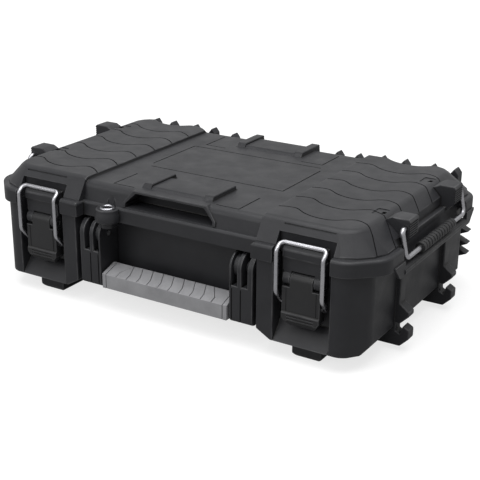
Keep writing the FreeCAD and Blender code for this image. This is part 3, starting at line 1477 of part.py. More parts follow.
def make_hinge_pin(side):
    """One hinge pin, as long as its three knuckles."""
    low, high = hinge_spans(side)[0]
    return rod_x(low[0], high[1], HINGE_Y, HINGE_Z, HINGE_PIN_R)


def make_latch_pin():
    """The right-hand latch pin, flush with the ears."""
    left = LATCH_X - LEVER_HALF
    right = LATCH_X + LEVER_HALF
    return rod_x(left, right, LEVER_PIVOT_Y, LEVER_PIVOT_Z, LATCH_PIN_R)


def make_handle_pin():
    """The right-hand handle pin, from the arm's inner face into the tower wall."""
    seat_x = RECESS_HALF_X + HANDLE_PIN_SEAT - SEAT_GAP
    return rod_x(ARM_IN_X, seat_x, HANDLE_Y, HANDLE_Z, HANDLE_PIN_R)


def eyelet(tube_low, tube_high, flange_low, flange_high, flange_r):
    """A metal eyelet for a padlock shackle."""
    tube = rod_z(tube_low, tube_high, EYE_X, EYE_Y, EYE_TUBE_R - RUN_FIT)
    flange = rod_z(flange_low, flange_high, EYE_X, EYE_Y, flange_r)
    return carved(joined([tube, flange]), [rod_z(0, FAR, EYE_X, EYE_Y, EYE_BORE_R)])


def make_lid_eyelet():
    """The eyelet in the lid's boss, with its rolled flange on top."""
    top_z = EYE_BOSS_Z + EYE_FLANGE_T

    def on_top(middle, edge):
        return middle.z > top_z - NEAR

    return rounded(eyelet(RIM_LOW_Z, EYE_BOSS_Z, EYE_BOSS_Z, top_z, EYE_FLANGE_R), EYE_ROLL_R, on_top)


def make_base_eyelet():
    """The eyelet in the base's lug, with its flange let in from below."""
    return eyelet(EYE_LUG_Z, SHOULDER_Z, EYE_LUG_LOW_Z, EYE_LUG_Z, EYE_LUG_R - EYE_LUG_RIM)


def write_parts():
    """Build every piece and write each to its own file."""
    parts = {
        "base_shell": make_base_shell(),
        "lid_shell": make_lid_shell(),
        "lid_seal": make_lid_seal(),
        "handle_frame": make_handle_frame(),
        "handle_grip": make_handle_grip(),
        "lid_padlock_eyelet": make_lid_eyelet(),
        "base_padlock_eyelet": make_base_eyelet(),
        "left_hinge_pin": make_hinge_pin(-1),
        "right_hinge_pin": make_hinge_pin(1),
    }
    pairs = {
        "latch_lever": make_latch_lever(),
        "latch_bail": make_latch_bail(),
        "latch_pin": make_latch_pin(),
        "handle_pin": make_handle_pin(),
        "side_bail": make_side_bail(),
        "bail_sleeve": make_bail_sleeve(),
    }
    for name, shape in pairs.items():
        parts["right_" + name] = shape
        parts["left_" + name] = flipped(shape)
    os.makedirs("parts", exist_ok=True)
    for name, shape in parts.items():
        shape.exportStep("parts/" + name + ".step")
        box = shape.BoundBox
        low = f"{box.XMin:.1f} {box.YMin:.1f} {box.ZMin:.1f}"
        high = f"{box.XMax:.1f} {box.YMax:.1f} {box.ZMax:.1f}"
        state = f"solids {len(shape.Solids)}, valid {shape.isValid()}, volume {shape.Volume:.0f} mm3"
        print(f"{name}: {state}, from {low} to {high}")


write_parts()
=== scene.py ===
"""The dressed model of a hard tool case: moulded shells, draw latches, carry handle and side bails."""

from __future__ import annotations

import json
import logging
import math
from collections.abc import Callable, Iterator, Sequence
from contextlib import contextmanager
from dataclasses import dataclass, field
from enum import Enum

import bmesh
import bpy
from mathutils import Matrix, Vector
from mathutils.bvhtree import BVHTree
from mathutils.kdtree import KDTree

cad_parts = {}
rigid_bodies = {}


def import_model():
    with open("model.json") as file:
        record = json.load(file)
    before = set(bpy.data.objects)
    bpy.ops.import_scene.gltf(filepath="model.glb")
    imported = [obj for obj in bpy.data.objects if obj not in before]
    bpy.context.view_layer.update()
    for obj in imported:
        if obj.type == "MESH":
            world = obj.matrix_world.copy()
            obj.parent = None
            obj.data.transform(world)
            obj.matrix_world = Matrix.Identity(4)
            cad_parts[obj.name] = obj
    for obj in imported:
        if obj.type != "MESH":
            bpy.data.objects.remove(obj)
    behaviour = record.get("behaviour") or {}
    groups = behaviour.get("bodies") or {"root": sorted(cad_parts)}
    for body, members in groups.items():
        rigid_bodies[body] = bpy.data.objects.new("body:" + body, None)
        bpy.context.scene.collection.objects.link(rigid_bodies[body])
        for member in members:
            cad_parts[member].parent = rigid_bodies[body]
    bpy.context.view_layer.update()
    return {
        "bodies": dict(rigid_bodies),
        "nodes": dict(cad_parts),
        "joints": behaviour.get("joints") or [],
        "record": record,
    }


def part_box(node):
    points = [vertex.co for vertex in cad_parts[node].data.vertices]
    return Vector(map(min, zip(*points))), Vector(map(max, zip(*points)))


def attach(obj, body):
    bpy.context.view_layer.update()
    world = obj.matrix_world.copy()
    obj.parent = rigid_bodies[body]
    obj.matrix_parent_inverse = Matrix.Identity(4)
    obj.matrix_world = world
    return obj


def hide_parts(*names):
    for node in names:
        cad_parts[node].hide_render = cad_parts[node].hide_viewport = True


LOG = logging.getLogger("tool_case")
MM = 0.001
MERGE = 0.005 * MM
FLAT_DEGREES = 0.8
WELD = 0.001 * MM
# Mark on the mouldings' faces: 1 on outer edges, which are scuffed and get a painted highlight, -1 in grooves
# and inner corners, which get painted shade.
WEAR_AND_PAINTED_LIGHT = "wear"
Colour = tuple[float, float, float]
Point = tuple[float, float, float]


class Side(Enum):
    """The two sides of the case, seen from the front."""

    LEFT = -1
    RIGHT = 1

    @property
    def word(self) -> str:
        """The word that the side's nodes and bodies start with."""
        return self.name.lower()


def deselect_all() -> None:
    """Leave nothing selected and nothing in edit mode."""
    if bpy.context.object and bpy.context.object.mode != "OBJECT":
        bpy.ops.object.mode_set(mode="OBJECT")
    for item in bpy.context.scene.objects:
        item.select_set(False)


def activate(piece: bpy.types.Object) -> None:
    """Make one piece the only selected and the active one.

    Args:
        piece: The piece to work on.
    """
    deselect_all()
    bpy.context.view_layer.objects.active = piece
    piece.select_set(True)


@contextmanager
def editing(piece: bpy.types.Object, mode: str = "FACE", start: str = "DESELECT") -> Iterator[None]:
    """Work on a piece in edit mode.

    Args:
        piece: The piece to edit.
        mode: The kind of element that is selected, VERT, EDGE or FACE.
        start: DESELECT to start with nothing selected, SELECT to start with everything.
    """
    activate(piece)
    bpy.ops.object.mode_set(mode="EDIT")
    bpy.ops.mesh.select_mode(type=mode)
    bpy.ops.mesh.select_all(action=start)
    yield
    bpy.ops.object.mode_set(mode="OBJECT")


@contextmanager
def reshaping(mesh: bpy.types.Mesh) -> Iterator[bmesh.types.BMesh]:
    """Work on the elements of a mesh, and write them back.

    Args:
        mesh: The mesh to work on.

    Returns:
        Its elements.
    """
    form = bmesh.new()
    form.from_mesh(mesh)
    yield form
    form.to_mesh(mesh)
    form.free()


def choose_faces(piece: bpy.types.Object, test: Callable[[Vector, Vector], bool]) -> None:
    """Select the faces that a test picks, while the piece is in edit mode.

    Args:
        piece: The piece in edit mode.
        test: Takes a face's middle and its normal.
    """
    form = bmesh.from_edit_mesh(piece.data)
    for face in [face for face in form.faces if test(face.calc_center_median(), face.normal)]:
        face.select_set(True)
    bmesh.update_edit_mesh(piece.data)


def add_block(name: str, low: Vector, high: Vector) -> bpy.types.Object:
    """A box between two corners, as the start of a piece.

    Args:
        name: The name of the new object.
        low: Its lowest corner.
        high: Its highest corner.

    Returns:
        The new object, at the origin with its place in its mesh.
    """
    deselect_all()
    bpy.ops.mesh.primitive_cube_add(size=1.0, location=(low + high) / 2)
    piece = bpy.context.object
    piece.name = name
    piece.scale = high - low
    settle(piece)
    return piece


def add_rod(name: str, middle: Vector, radius: float, length: float, sides: int) -> bpy.types.Object:
    """A round bar along the y axis, as the start of a piece.

    Args:
        name: The name of the new object.
        middle: The middle of the bar.
        radius: Its radius.
        length: Its length.
        sides: How many sides its round has.

    Returns:
        The new object, at the origin with its place in its mesh.
    """
    deselect_all()
    bpy.ops.mesh.primitive_cylinder_add(
        vertices=sides, radius=radius, depth=length, location=middle, rotation=(math.pi / 2, 0.0, 0.0)
    )
    piece = bpy.context.object
    piece.name = name
    settle(piece)
    return piece


def settle(piece: bpy.types.Object) -> None:
    """Put a piece's place, turn and size into its mesh.

    Args:
        piece: The piece to settle.
    """
    activate(piece)
    bpy.ops.object.transform_apply(location=True, rotation=True, scale=True)


def cut_away(piece: bpy.types.Object, point: Point, normal: Point) -> None:
    """Cut off what lies on the normal's side of a plane, and close the cut.

    Args:
        piece: The piece to cut.
        point: A point of the plane.
        normal: The plane's normal, towards what goes.
    """
    with editing(piece, start="SELECT"):
        bpy.ops.mesh.bisect(plane_co=point, plane_no=normal, use_fill=True, clear_outer=True)


def join_pieces(pieces: Sequence[bpy.types.Object], name: str) -> bpy.types.Object:
    """Join several meshes into the first one.

    Args:
        pieces: The pieces, the first of which stays.
        name: The joined piece's name.

    Returns:
        The joined piece.
    """
    activate(pieces[0])
    for piece in pieces[1:]:
        piece.select_set(True)
    bpy.ops.object.join()
    joined = bpy.context.object
    joined.name = name
    return joined


def copy_of(source: bpy.types.Object, name: str) -> bpy.types.Object:
    """A copy of an object with its own mesh.

    Args:
        source: What to copy.
        name: The copy's name.

    Returns:
        The copy, riding on nothing.
    """
    piece = bpy.data.objects.new(name, source.data.copy())
    bpy.context.scene.collection.objects.link(piece)
    return piece


def merged_copy(source: bpy.types.Object, name: str) -> bpy.types.Object:
    """A copy of a node as one closed mesh, with each flat as one face.

    Args:
        source: The node to copy.
        name: The copy's name.

    Returns:
        The merged copy.
    """
    piece = copy_of(source, name)
    activate(piece)
    bpy.ops.mesh.customdata_custom_splitnormals_clear()
    with editing(piece, start="SELECT"):
        bpy.ops.mesh.remove_doubles(threshold=MERGE)
        bpy.ops.mesh.dissolve_limited(angle_limit=math.radians(FLAT_DEGREES))
    return piece


def mirrored(source: bpy.types.Object, name: str) -> bpy.types.Object:
    """A copy of a piece on the other side of the case, with its faces turned outwards.

    Args:
        source: The right-hand piece.
        name: The left-hand piece's name.

    Returns:
        The mirrored copy.
    """
    piece = copy_of(source, name)
    piece.scale = (-1.0, 1.0, 1.0)
    settle(piece)
    recalculate(piece)
    return piece


def recalculate(piece: bpy.types.Object) -> None:
    """Turn all faces of a closed piece outwards.

    Args:
        piece: The piece to mend.
    """
    with editing(piece, start="SELECT"):
        bpy.ops.mesh.normals_make_consistent(inside=False)


def apply_modifier(piece: bpy.types.Object, kind: str, **settings: object) -> None:
    """Add a modifier to a piece and apply it.

    Args:
        piece: The piece to change.
        kind: The modifier's type.
        settings: Values for the modifier.
    """
    activate(piece)
    modifier = piece.modifiers.new(kind.lower(), kind)
    for key, value in settings.items():
        setattr(modifier, key, value)
    bpy.ops.object.modifier_apply(modifier=modifier.name)


def smooth(piece: bpy.types.Object, angle: float = 40.0) -> None:
    """Shade a piece smooth up to an angle, with its large faces kept flat.

    Args:
        piece: The piece to shade.
        angle: The angle in degrees above which an edge stays sharp.
    """
    activate(piece)
    bpy.ops.object.shade_smooth_by_angle(angle=math.radians(angle))
    apply_modifier(piece, "WEIGHTED_NORMAL", keep_sharp=True, weight=90)


def points_between(first: Vector, last: Vector, gap: float) -> list[Vector]:
    """Points along a line, with both its ends.

    Args:
        first: Where the line starts.
        last: Where it ends.
        gap: The widest gap between two points.

    Returns:
        The points.
    """
    steps = max(1, math.ceil((last - first).length / gap))
    return [first.lerp(last, step / steps) for step in range(steps + 1)]


def tree_of(points: Sequence[Vector]) -> KDTree:
    """A tree of points, to search for the nearest ones.

    Args:
        points: The points.

    Returns:
        The tree, which names each point by its place in the list.
    """
    tree = KDTree(len(points))
    for index, point in enumerate(points):
        tree.insert(point, index)
    tree.balance()
    return tree


@dataclass(frozen=True)
class EdgeSoftener:
    """Rounds the sharp edges of a moulding, each as far as its neighbours leave room.

    Attributes:
        width: The widest rounding, in metres.
        room_share: The share of the way to the next sharp edge that a rounding may take.
        sharp: The angle in degrees above which an edge is rounded.
        segments: How many strips a rounding has.
        sample_step: How closely the edges are sampled to find their neighbours.
        look_at: Where along an edge its neighbours are looked for, as shares of its length.
        aside_share: The share of the way to a neighbour that has to lead aside, not along the edge.
        least: The narrowest rounding that is made.
        groove_width: The width below which a face between rising ones is the floor of a groove.
        groove_turn: How steeply they rise on the whole, in radians.
        stray_share: The share of the widest rounding beyond which a point has strayed off the surface.
        knot_area: The area above which a folded triangle counts.
        ease_reach: How far from a fold the edges are rounded less.
        ease_share: How much of their rounding they keep.
        attempts: How often the rounding is tried.
    """

    width: float = 1.4 * MM
    room_share: float = 0.36
    sharp: float = 28.0
    segments: int = 2
    sample_step: float = 1.5 * MM
    look_at: tuple[float, ...] = (0.1, 0.3, 0.5, 0.7, 0.9)
    aside_share: float = 0.5
    least: float = 0.08 * MM
    groove_width: float = 2.6 * MM
    groove_turn: float = 0.5
    stray_share: float = 0.6
    knot_area: float = 0.4 * MM * MM
    ease_reach: float = 2.0 * MM
    ease_share: float = 0.35
    attempts: int = 4

    def sharp_edges(self, form: bmesh.types.BMesh) -> list[bmesh.types.BMEdge]:
        """Find the edges of a form that are sharp enough to be rounded.

        Args:
            form: The form to search.

        Returns:
            The sharp edges.
        """
        limit = math.radians(self.sharp)
        return [e for e in form.edges if len(e.link_faces) == 2 and e.calc_face_angle(0.0) > limit]

    def neighbour_tree(self, edges: list[bmesh.types.BMEdge]) -> tuple[KDTree, list[int]]:
        """Sample points along edges, to search for the nearest ones.

        Args:
            edges: The edges to sample.

        Returns:
            A tree of the points, and the edge that each point belongs to.
        """
        points: list[Vector] = []
        owners: list[int] = []
        for index, edge in enumerate(edges):
            samples = points_between(*(vert.co for vert in edge.verts), self.sample_step)
            points += samples
            owners += [index] * len(samples)
        return tree_of(points), owners

    def room_beside(
        self, index: int, edges: list[bmesh.types.BMEdge], tree: KDTree, owners: list[int]
    ) -> float:
        """The distance from an edge to the next sharp edge that isn't its own continuation.

        Args:
            index: The edge's place in the list.
            edges: All sharp edges.
            tree: Points along them.
            owners: The edge that each point belongs to.

        Returns:
            The distance in metres, at most what the widest rounding needs.
        """
        edge = edges[index]
        start, end = (vert.co for vert in edge.verts)
        along = (end - start).normalized()
        touching = {other for vert in edge.verts for other in vert.link_edges}
        reach = self.width / self.room_share
        room = reach
        for share in self.look_at:
            place = start.lerp(end, share)
            for point, found, distance in tree.find_range(place, reach):
                other = edges[owners[found]]
                offset = point - place
                aside = (offset - along * offset.dot(along)).length
                if other not in touching and distance > 0.0 and aside > self.aside_share * distance:
                    room = min(room, distance)
        return room

    def plan(self, mesh: bpy.types.Mesh) -> tuple[list[float], BVHTree]:
        """Choose how far each edge of a mesh is rounded.

        Args:
            mesh: The mesh to round.

        Returns:
            Each edge's share of the widest rounding, and the mesh's surface.
        """
        form = bmesh.new()
        form.from_mesh(mesh)
        surface = BVHTree.FromBMesh(form)
        edges = self.sharp_edges(form)
        tree, owners = self.neighbour_tree(edges)
        weights = [0.0] * len(form.edges)
        for index, edge in enumerate(edges):
            room = self.room_beside(index, edges, tree, owners)
            offset = min(self.width, room * self.room_share)
            weights[edge.index] = offset / self.width if offset > self.least else 0.0
        form.free()
        return weights, surface

    def round_edges(self, piece: bpy.types.Object, weights: list[float]) -> None:
        """Round a piece's edges by their weights.

        Args:
            piece: The piece to round.
            weights: Each edge's share of the widest rounding.
        """
        attribute = piece.data.attributes.new("bevel_weight_edge", "FLOAT", "EDGE")
        attribute.data.foreach_set("value", weights)
        piece.data.materials.clear()
        for _ in ("faces", "strips"):
            piece.data.materials.append(None)
        apply_modifier(
            piece,
            "BEVEL",
            width=self.width,
            segments=self.segments,
            limit_method="WEIGHT",
            use_clamp_overlap=False,
            loop_slide=False,
            miter_outer="MITER_SHARP",
            material=1,
        )

    def knots(self, mesh: bpy.types.Mesh) -> list[Vector]:
        """Find where a rounding folded a face over itself.

        Args:
            mesh: The rounded mesh.

        Returns:
            The corners of the folded triangles.
        """
        mesh.calc_loop_triangles()
        found: list[Vector] = []
        for triangle in mesh.loop_triangles:
            corners = [mesh.vertices[index].co.copy() for index in triangle.vertices]
            cross = (corners[1] - corners[0]).cross(corners[2] - corners[0])
            if cross.dot(mesh.polygons[triangle.polygon_index].normal) < -2 * self.knot_area:
                found += corners
        return found

    def ease(self, weights: list[float], mesh: bpy.types.Mesh, places: list[Vector]) -> None:
        """Round the edges near some places less.

        Args:
            weights: Each edge's share of the widest rounding, changed in place.
            mesh: The mesh before its rounding.
            places: The places to ease.
        """
        tree = tree_of(places)
        for edge in mesh.edges:
            if not weights[edge.index]:
                continue
            ends = (mesh.vertices[index].co for index in edge.vertices)
            gaps = (tree.find(point)[2] for point in points_between(*ends, self.sample_step))
            if min(gaps) < self.ease_reach:
                eased = weights[edge.index] * self.ease_share
                weights[edge.index] = eased if eased * self.width > self.least else 0.0

    def soften(self, piece: bpy.types.Object) -> None:
        """Round a piece's edges, and round less where faces would fold over.

        Args:
            piece: The piece, a closed mesh.
        """
        self.mark_grooves(piece)
        with editing(piece, start="SELECT"):
            bpy.ops.mesh.vert_connect_concave()
        plain = piece.data
        weights, surface = self.plan(plain)
        for _ in range(self.attempts):
            piece.data = plain.copy()
            self.round_edges(piece, weights)
            strays = self.bring_back(piece, surface)
            places = self.knots(piece.data)
            LOG.info("%s: %d points brought back, %d corners folded", piece.name, strays, len(places))
            if not places:
                break
            self.ease(weights, plain, places)
        self.mark_strips(piece)

    def bring_back(self, piece: bpy.types.Object, surface: BVHTree) -> int:
        """Bring points that a rounding threw off the moulding back to its surface.

        Args:
            piece: The rounded piece.
            surface: Its surface before the rounding.

        Returns:
            How many points were moved.
        """
        strays = 0
        for vert in piece.data.vertices:
            place, _, _, gap = surface.find_nearest(vert.co)
            if gap > self.stray_share * self.width:
                vert.co = place
                strays += 1
        return strays

    def turn_of(self, face: bmesh.types.BMFace) -> float:
        """How far the surface turns round a face's edges on the whole.

        Args:
            face: The face.

        Returns:
            The mean angle in radians, above zero where the surface falls away.
        """
        turns = (edge.calc_length() * edge.calc_face_angle_signed(0.0) for edge in face.edges)
        return sum(turns) / max(face.calc_perimeter(), MERGE)

    def mark_grooves(self, piece: bpy.types.Object) -> None:
        """Write to each face whether it is the floor of a narrow groove, as -1, where painted shade goes.

        Args:
            piece: The piece, with each flat as one face.
        """
        with reshaping(piece.data) as form:
            layer = form.faces.layers.float.new(WEAR_AND_PAINTED_LIGHT)
            for face in form.faces:
                narrow = 2 * face.calc_area() < self.groove_width * face.calc_perimeter()
                face[layer] = -1.0 if narrow and self.turn_of(face) < -self.groove_turn else 0.0

    def mark_strips(self, piece: bpy.types.Object) -> None:
        """Write to each rounded strip whether it is an outer edge, 1, which is scuffed and gets a painted
        highlight, or an inner corner, -1, which gets painted shade.

        Args:
            piece: The piece, whose rounded strips have the second material slot.
        """
        with reshaping(piece.data) as form:
            layer = form.faces.layers.float[WEAR_AND_PAINTED_LIGHT]
            for face in form.faces:
                if face.material_index == 1:
                    face[layer] = 1.0 if self.turn_of(face) > 0.0 else -1.0
                face.material_index = 0


def add_node(
    tree: bpy.types.NodeTree, kind: str, inputs: dict | None = None, **settings: str
) -> bpy.types.Node:
    """Add a node, and set or link its inputs.

    Args:
        tree: The tree that it goes into.
        kind: Its type, without the word ShaderNode.
        inputs: For an input's name or number, its value or the socket that gives it.
        settings: Values for the node itself.

    Returns:
        The new node.
    """
    node = tree.nodes.new("ShaderNode" + kind)
    for key, value in settings.items():
        setattr(node, key, value)
    for key, value in (inputs or {}).items():
        if isinstance(value, bpy.types.NodeSocket):
            tree.links.new(value, node.inputs[key])
        else:
            node.inputs[key].default_value = value
    return node


@dataclass(frozen=True)
class Noise:
    """Soft noise that a finish varies by.

    Attributes:
        scale: Its scale, per metre.
        detail: How many layers it has.
        rough: How strong the finer layers are.
        low: The value below which it doesn't show.
        high: The value above which it shows in full.
    """

    scale: float
    detail: float = 3.0
    rough: float = 0.5
    low: float = 0.3
    high: float = 0.7


class NodeSheet:
    """A material's node tree, with short calls to add and link its nodes."""

    def __init__(self, name: str) -> None:
        """Start an empty material with its shader and output.

        Args:
            name: The material's name.
        """
        self.material = bpy.data.materials.new(name)
        self.material.use_nodes = True
        self.tree = self.material.node_tree
        self.tree.nodes.clear()
        self.shader = add_node(self.tree, "BsdfPrincipled")
        add_node(self.tree, "OutputMaterial", {"Surface": self.shader.outputs["BSDF"]})
        self.place = add_node(self.tree, "TexCoord").outputs["Object"]

    def feed(self, source: bpy.types.NodeSocket, target: str) -> None:
        """Link a value to one of the shader's inputs.

        Args:
            source: The socket that gives the value.
            target: The name of the input.
        """
        self.tree.links.new(source, self.shader.inputs[target])

    def noise(self, kind: Noise) -> bpy.types.NodeSocket:
        """Noise on the piece's own coordinates.

        Args:
            kind: The noise.

        Returns:
            The noise's value.
        """
        inputs = {"Scale": kind.scale, "Detail": kind.detail, "Roughness": kind.rough, "Vector": self.place}
        return add_node(self.tree, "TexNoise", inputs).outputs["Fac"]

    def varied(self, kind: Noise, least: float = 0.0, most: float = 1.0) -> bpy.types.NodeSocket:
        """A value that varies over the surface.

        Args:
            kind: The noise that it varies by.
            least: The value where the noise doesn't show.
            most: The value where it shows in full.

        Returns:
            The value.
        """
        return self.spread(self.noise(kind), kind.low, kind.high, least, most)

    def spread(
        self, value: bpy.types.NodeSocket, low: float, high: float, to_low: float, to_high: float
    ) -> bpy.types.NodeSocket:
        """A value stretched from one range to another.

        Args:
            value: The value to stretch.
            low: The lower end of its range.
            high: The upper end of its range.
            to_low: What the lower end becomes.
            to_high: What the upper end becomes.

        Returns:
            The stretched value.
        """
        inputs = {"Value": value, "From Min": low, "From Max": high, "To Min": to_low, "To Max": to_high}
        return add_node(self.tree, "MapRange", inputs).outputs["Result"]

    def blend(
        self, share: bpy.types.NodeSocket, first: Colour | bpy.types.NodeSocket, second: Colour
    ) -> bpy.types.NodeSocket:
        """A colour between two others.

        Args:
            share: How much of the second colour shows.
            first: The first colour, or the socket that gives it.
            second: The second colour.

        Returns:
            The blended colour.
        """
        node = add_node(self.tree, "Mix", {"Factor": share}, data_type="RGBA")
        lower, upper = (socket for socket in node.inputs if socket.type == "RGBA")
        if isinstance(first, bpy.types.NodeSocket):
            self.tree.links.new(first, lower)
        else:
            lower.default_value = (*first, 1.0)
        upper.default_value = (*second, 1.0)
        return next(socket for socket in node.outputs if socket.type == "RGBA")

    def worn(self, full: float) -> bpy.types.NodeSocket:
        """How far a point is on an outer edge, scuffed and with a painted highlight, or in a groove or inner
        corner with painted shade.

        Args:
            full: The mark that gives 1, which is 1 for scuffed outer edges with a painted highlight and -1
                for grooves and inner corners with painted shade.

        Returns:
            The share, from 0 to 1.
        """
        mark = add_node(self.tree, "Attribute", attribute_name=WEAR_AND_PAINTED_LIGHT)
        return self.spread(mark.outputs["Fac"], 0.0, full, 0.0, 1.0)

    def times(self, first: bpy.types.NodeSocket, second: bpy.types.NodeSocket) -> bpy.types.NodeSocket:
        """One value times another.

        Args:
            first: The first value.
            second: The second value.

        Returns:
            Their product.
        """
        return add_node(self.tree, "Math", {0: first, 1: second}, operation="MULTIPLY").outputs[0]

    def relief(self, depth: float, *kinds: Noise) -> None:
        """Bump the surface by several kinds of noise, one over the other.

        Args:
            depth: The depth of each in metres.
            kinds: The kinds of noise.
        """
        below: dict[str, bpy.types.NodeSocket] = {}
        for kind in kinds:
            inputs = {"Strength": 1.0, "Distance": depth, "Height": self.noise(kind), **below}
            below = {"Normal": add_node(self.tree, "Bump", inputs).outputs["Normal"]}
        self.feed(below["Normal"], "Normal")


@dataclass(frozen=True)
class MouldedPlastic:
    """Hard moulded plastic with a fine eroded grain, scuffed a little along its outer edges, which also carry
    a painted highlight, with painted shade in its grooves and inner corners.

    Attributes:
        slot: The record's material slot.
        dark: The plastic's darker tone.
        pale: Its paler tone, in soft cloudy patches.
        scuff: The tone of an outer edge: a light scuffed tone that is also a painted highlight.
        deep: Painted shade: the dark tone at the bottom of grooves and gaps and in inner corners.
        gloss: The lowest and highest roughness.
        sheen: How strongly the surface mirrors, 0.5 being a plain plastic.
        clouds: The noise of the cloudy patches.
        rubbing: The noise that breaks up the scuffs and painted highlights on outer edges.
        rubbed: The lowest and highest share of the scuffed, highlighted tone on an outer edge.
        shine: The noise of the roughness.
        fine: The fine grain.
        coarse: The coarse grain.
        grain_depth: The depth of the grain in metres.
    """

    slot: str = "shell_plastic"
    dark: Colour = (0.0160, 0.0162, 0.0184)
    pale: Colour = (0.0218, 0.0221, 0.0246)
    scuff: Colour = (0.070, 0.070, 0.073)
    deep: Colour = (0.004, 0.004, 0.004)
    gloss: tuple[float, float] = (0.40, 0.52)
    sheen: float = 0.28
    clouds: Noise = Noise(14.0, 4.0, 0.6, 0.35, 0.65)
    rubbing: Noise = Noise(60.0, low=0.35)
    rubbed: tuple[float, float] = (0.15, 0.8)
    shine: Noise = Noise(45.0, 5.0)
    fine: Noise = Noise(1100.0, 2.0)
    coarse: Noise = Noise(260.0, 2.0)
    grain_depth: float = 0.05 * MM

    def material(self) -> bpy.types.Material:
        """Make the material.

        Returns:
            The new material.
        """
        sheet = NodeSheet(self.slot)
        base = sheet.blend(sheet.varied(self.clouds), self.dark, self.pale)
        # Outer edges get a scuffed tone that also serves as a painted highlight.
        rubbed = sheet.times(sheet.worn(1.0), sheet.varied(self.rubbing, *self.rubbed))
        edged = sheet.blend(rubbed, base, self.scuff)
        # Grooves, gaps and inner corners get painted shade.
        sheet.feed(sheet.blend(sheet.worn(-1.0), edged, self.deep), "Base Color")
        sheet.feed(sheet.varied(self.shine, *self.gloss), "Roughness")
        sheet.shader.inputs["Specular IOR Level"].default_value = self.sheen
        sheet.relief(self.grain_depth, self.fine, self.coarse)
        return sheet.material


@dataclass(frozen=True)
class SoftGrip:
    """Grey soft-touch plastic with a dull, slightly mottled face, and painted shade in its score lines and
    inner corners.

    Attributes:
        slot: The record's material slot.
        dark: The darker grey.
        pale: The paler grey.
        deep: Painted shade: the dark tone at the bottom of the score lines and in inner corners.
        gloss: The lowest and highest roughness.
        mottle: The noise of the two greys.
        shine: The noise of the roughness.
        grain: The grain.
        grain_depth: The depth of the grain in metres.
    """

    slot: str = "grip_plastic"
    dark: Colour = (0.215, 0.215, 0.224)
    pale: Colour = (0.270, 0.270, 0.280)
    deep: Colour = (0.060, 0.060, 0.063)
    gloss: tuple[float, float] = (0.50, 0.66)
    mottle: Noise = Noise(30.0, 5.0, 0.6, 0.35, 0.65)
    shine: Noise = Noise(80.0, 4.0)
    grain: Noise = Noise(1500.0, 2.0)
    grain_depth: float = 0.05 * MM

    def material(self) -> bpy.types.Material:
        """Make the material.

        Returns:
            The new material.
        """
        sheet = NodeSheet(self.slot)
        base = sheet.blend(sheet.varied(self.mottle), self.dark, self.pale)
        # Painted shade at the bottom of the score lines and in inner corners.
        sheet.feed(sheet.blend(sheet.worn(-1.0), base, self.deep), "Base Color")
        sheet.feed(sheet.varied(self.shine, *self.gloss), "Roughness")
        sheet.relief(self.grain_depth, self.grain)
        return sheet.material


@dataclass(frozen=True)
class Rubber:
    """Black rubber with a dry, faintly dusty face.

    Attributes:
        slot: The record's material slot.
        dark: The rubber's own tone.
        dusty: The tone of dust on it.
        gloss: The lowest and highest roughness.
        dust: The noise of the dust.
        grain: The grain.
        grain_depth: The depth of the grain in metres.
    """

    slot: str = "sleeve_rubber"
    dark: Colour = (0.008, 0.008, 0.009)
    dusty: Colour = (0.017, 0.017, 0.018)
    gloss: tuple[float, float] = (0.55, 0.75)
    dust: Noise = Noise(120.0, 5.0, 0.65, 0.4, 0.75)
    grain: Noise = Noise(900.0)
    grain_depth: float = 0.04 * MM

    def material(self) -> bpy.types.Material:
        """Make the material.

        Returns:
            The new material.
        """
        sheet = NodeSheet(self.slot)
        dust = sheet.varied(self.dust)
        sheet.feed(sheet.blend(dust, self.dark, self.dusty), "Base Color")
        sheet.feed(sheet.spread(dust, 0.0, 1.0, *self.gloss), "Roughness")
        sheet.relief(self.grain_depth, self.grain)
        return sheet.material


@dataclass(frozen=True)
class PlatedSteel:
    """Bright plated steel with fine drawing marks and slightly cloudy plating.

    Attributes:
        slot: The record's material slot.
        bright: The plating's tone.
        cloudy: Its duller tone.
        gloss: The lowest and highest roughness.
        clouds: The noise of the cloudy plating.
        marks: The drawing marks.
        mark_depth: Their depth in metres.
    """

    slot: str = "bright_steel"
    bright: Colour = (0.42, 0.42, 0.44)
    cloudy: Colour = (0.34, 0.34, 0.36)
    gloss: tuple[float, float] = (0.24, 0.38)
    clouds: Noise = Noise(180.0, 4.0, 0.6, 0.35)
    marks: Noise = Noise(1400.0, 2.0)
    mark_depth: float = 0.003 * MM

    def material(self) -> bpy.types.Material:
        """Make the material.

        Returns:
            The new material.
        """
        sheet = NodeSheet(self.slot)
        clouds = sheet.varied(self.clouds)
        sheet.feed(sheet.blend(clouds, self.bright, self.cloudy), "Base Color")
        sheet.shader.inputs["Metallic"].default_value = 1.0
        sheet.feed(sheet.spread(clouds, 0.0, 1.0, *self.gloss), "Roughness")
        sheet.relief(self.mark_depth, self.marks)
        return sheet.material


class Finishes:
    """The finishes of the case, each made once and handed out by its slot."""

    def __init__(self) -> None:
        """Make every finish that the case has."""
        latch = MouldedPlastic("latch_plastic", dark=(0.0145, 0.0145, 0.0155), pale=(0.020, 0.020, 0.021))
        seal = Rubber("seal_rubber", dark=(0.012, 0.012, 0.012), dusty=(0.022, 0.022, 0.022))
        pins = PlatedSteel("pin_steel", (0.56, 0.56, 0.57), (0.44, 0.44, 0.45), (0.30, 0.45))
        kinds = (MouldedPlastic(), latch, SoftGrip(), Rubber(), seal, PlatedSteel(), pins)
        self.by_slot = {kind.slot: kind.material() for kind in kinds}

    def dress(self, piece: bpy.types.Object, slot: str) -> None:
        """Give a piece one finish all over.

        Args:
            piece: The piece to dress.
            slot: The finish's slot in the record.
        """
        piece.data.materials.clear()
        piece.data.materials.append(self.by_slot[slot])


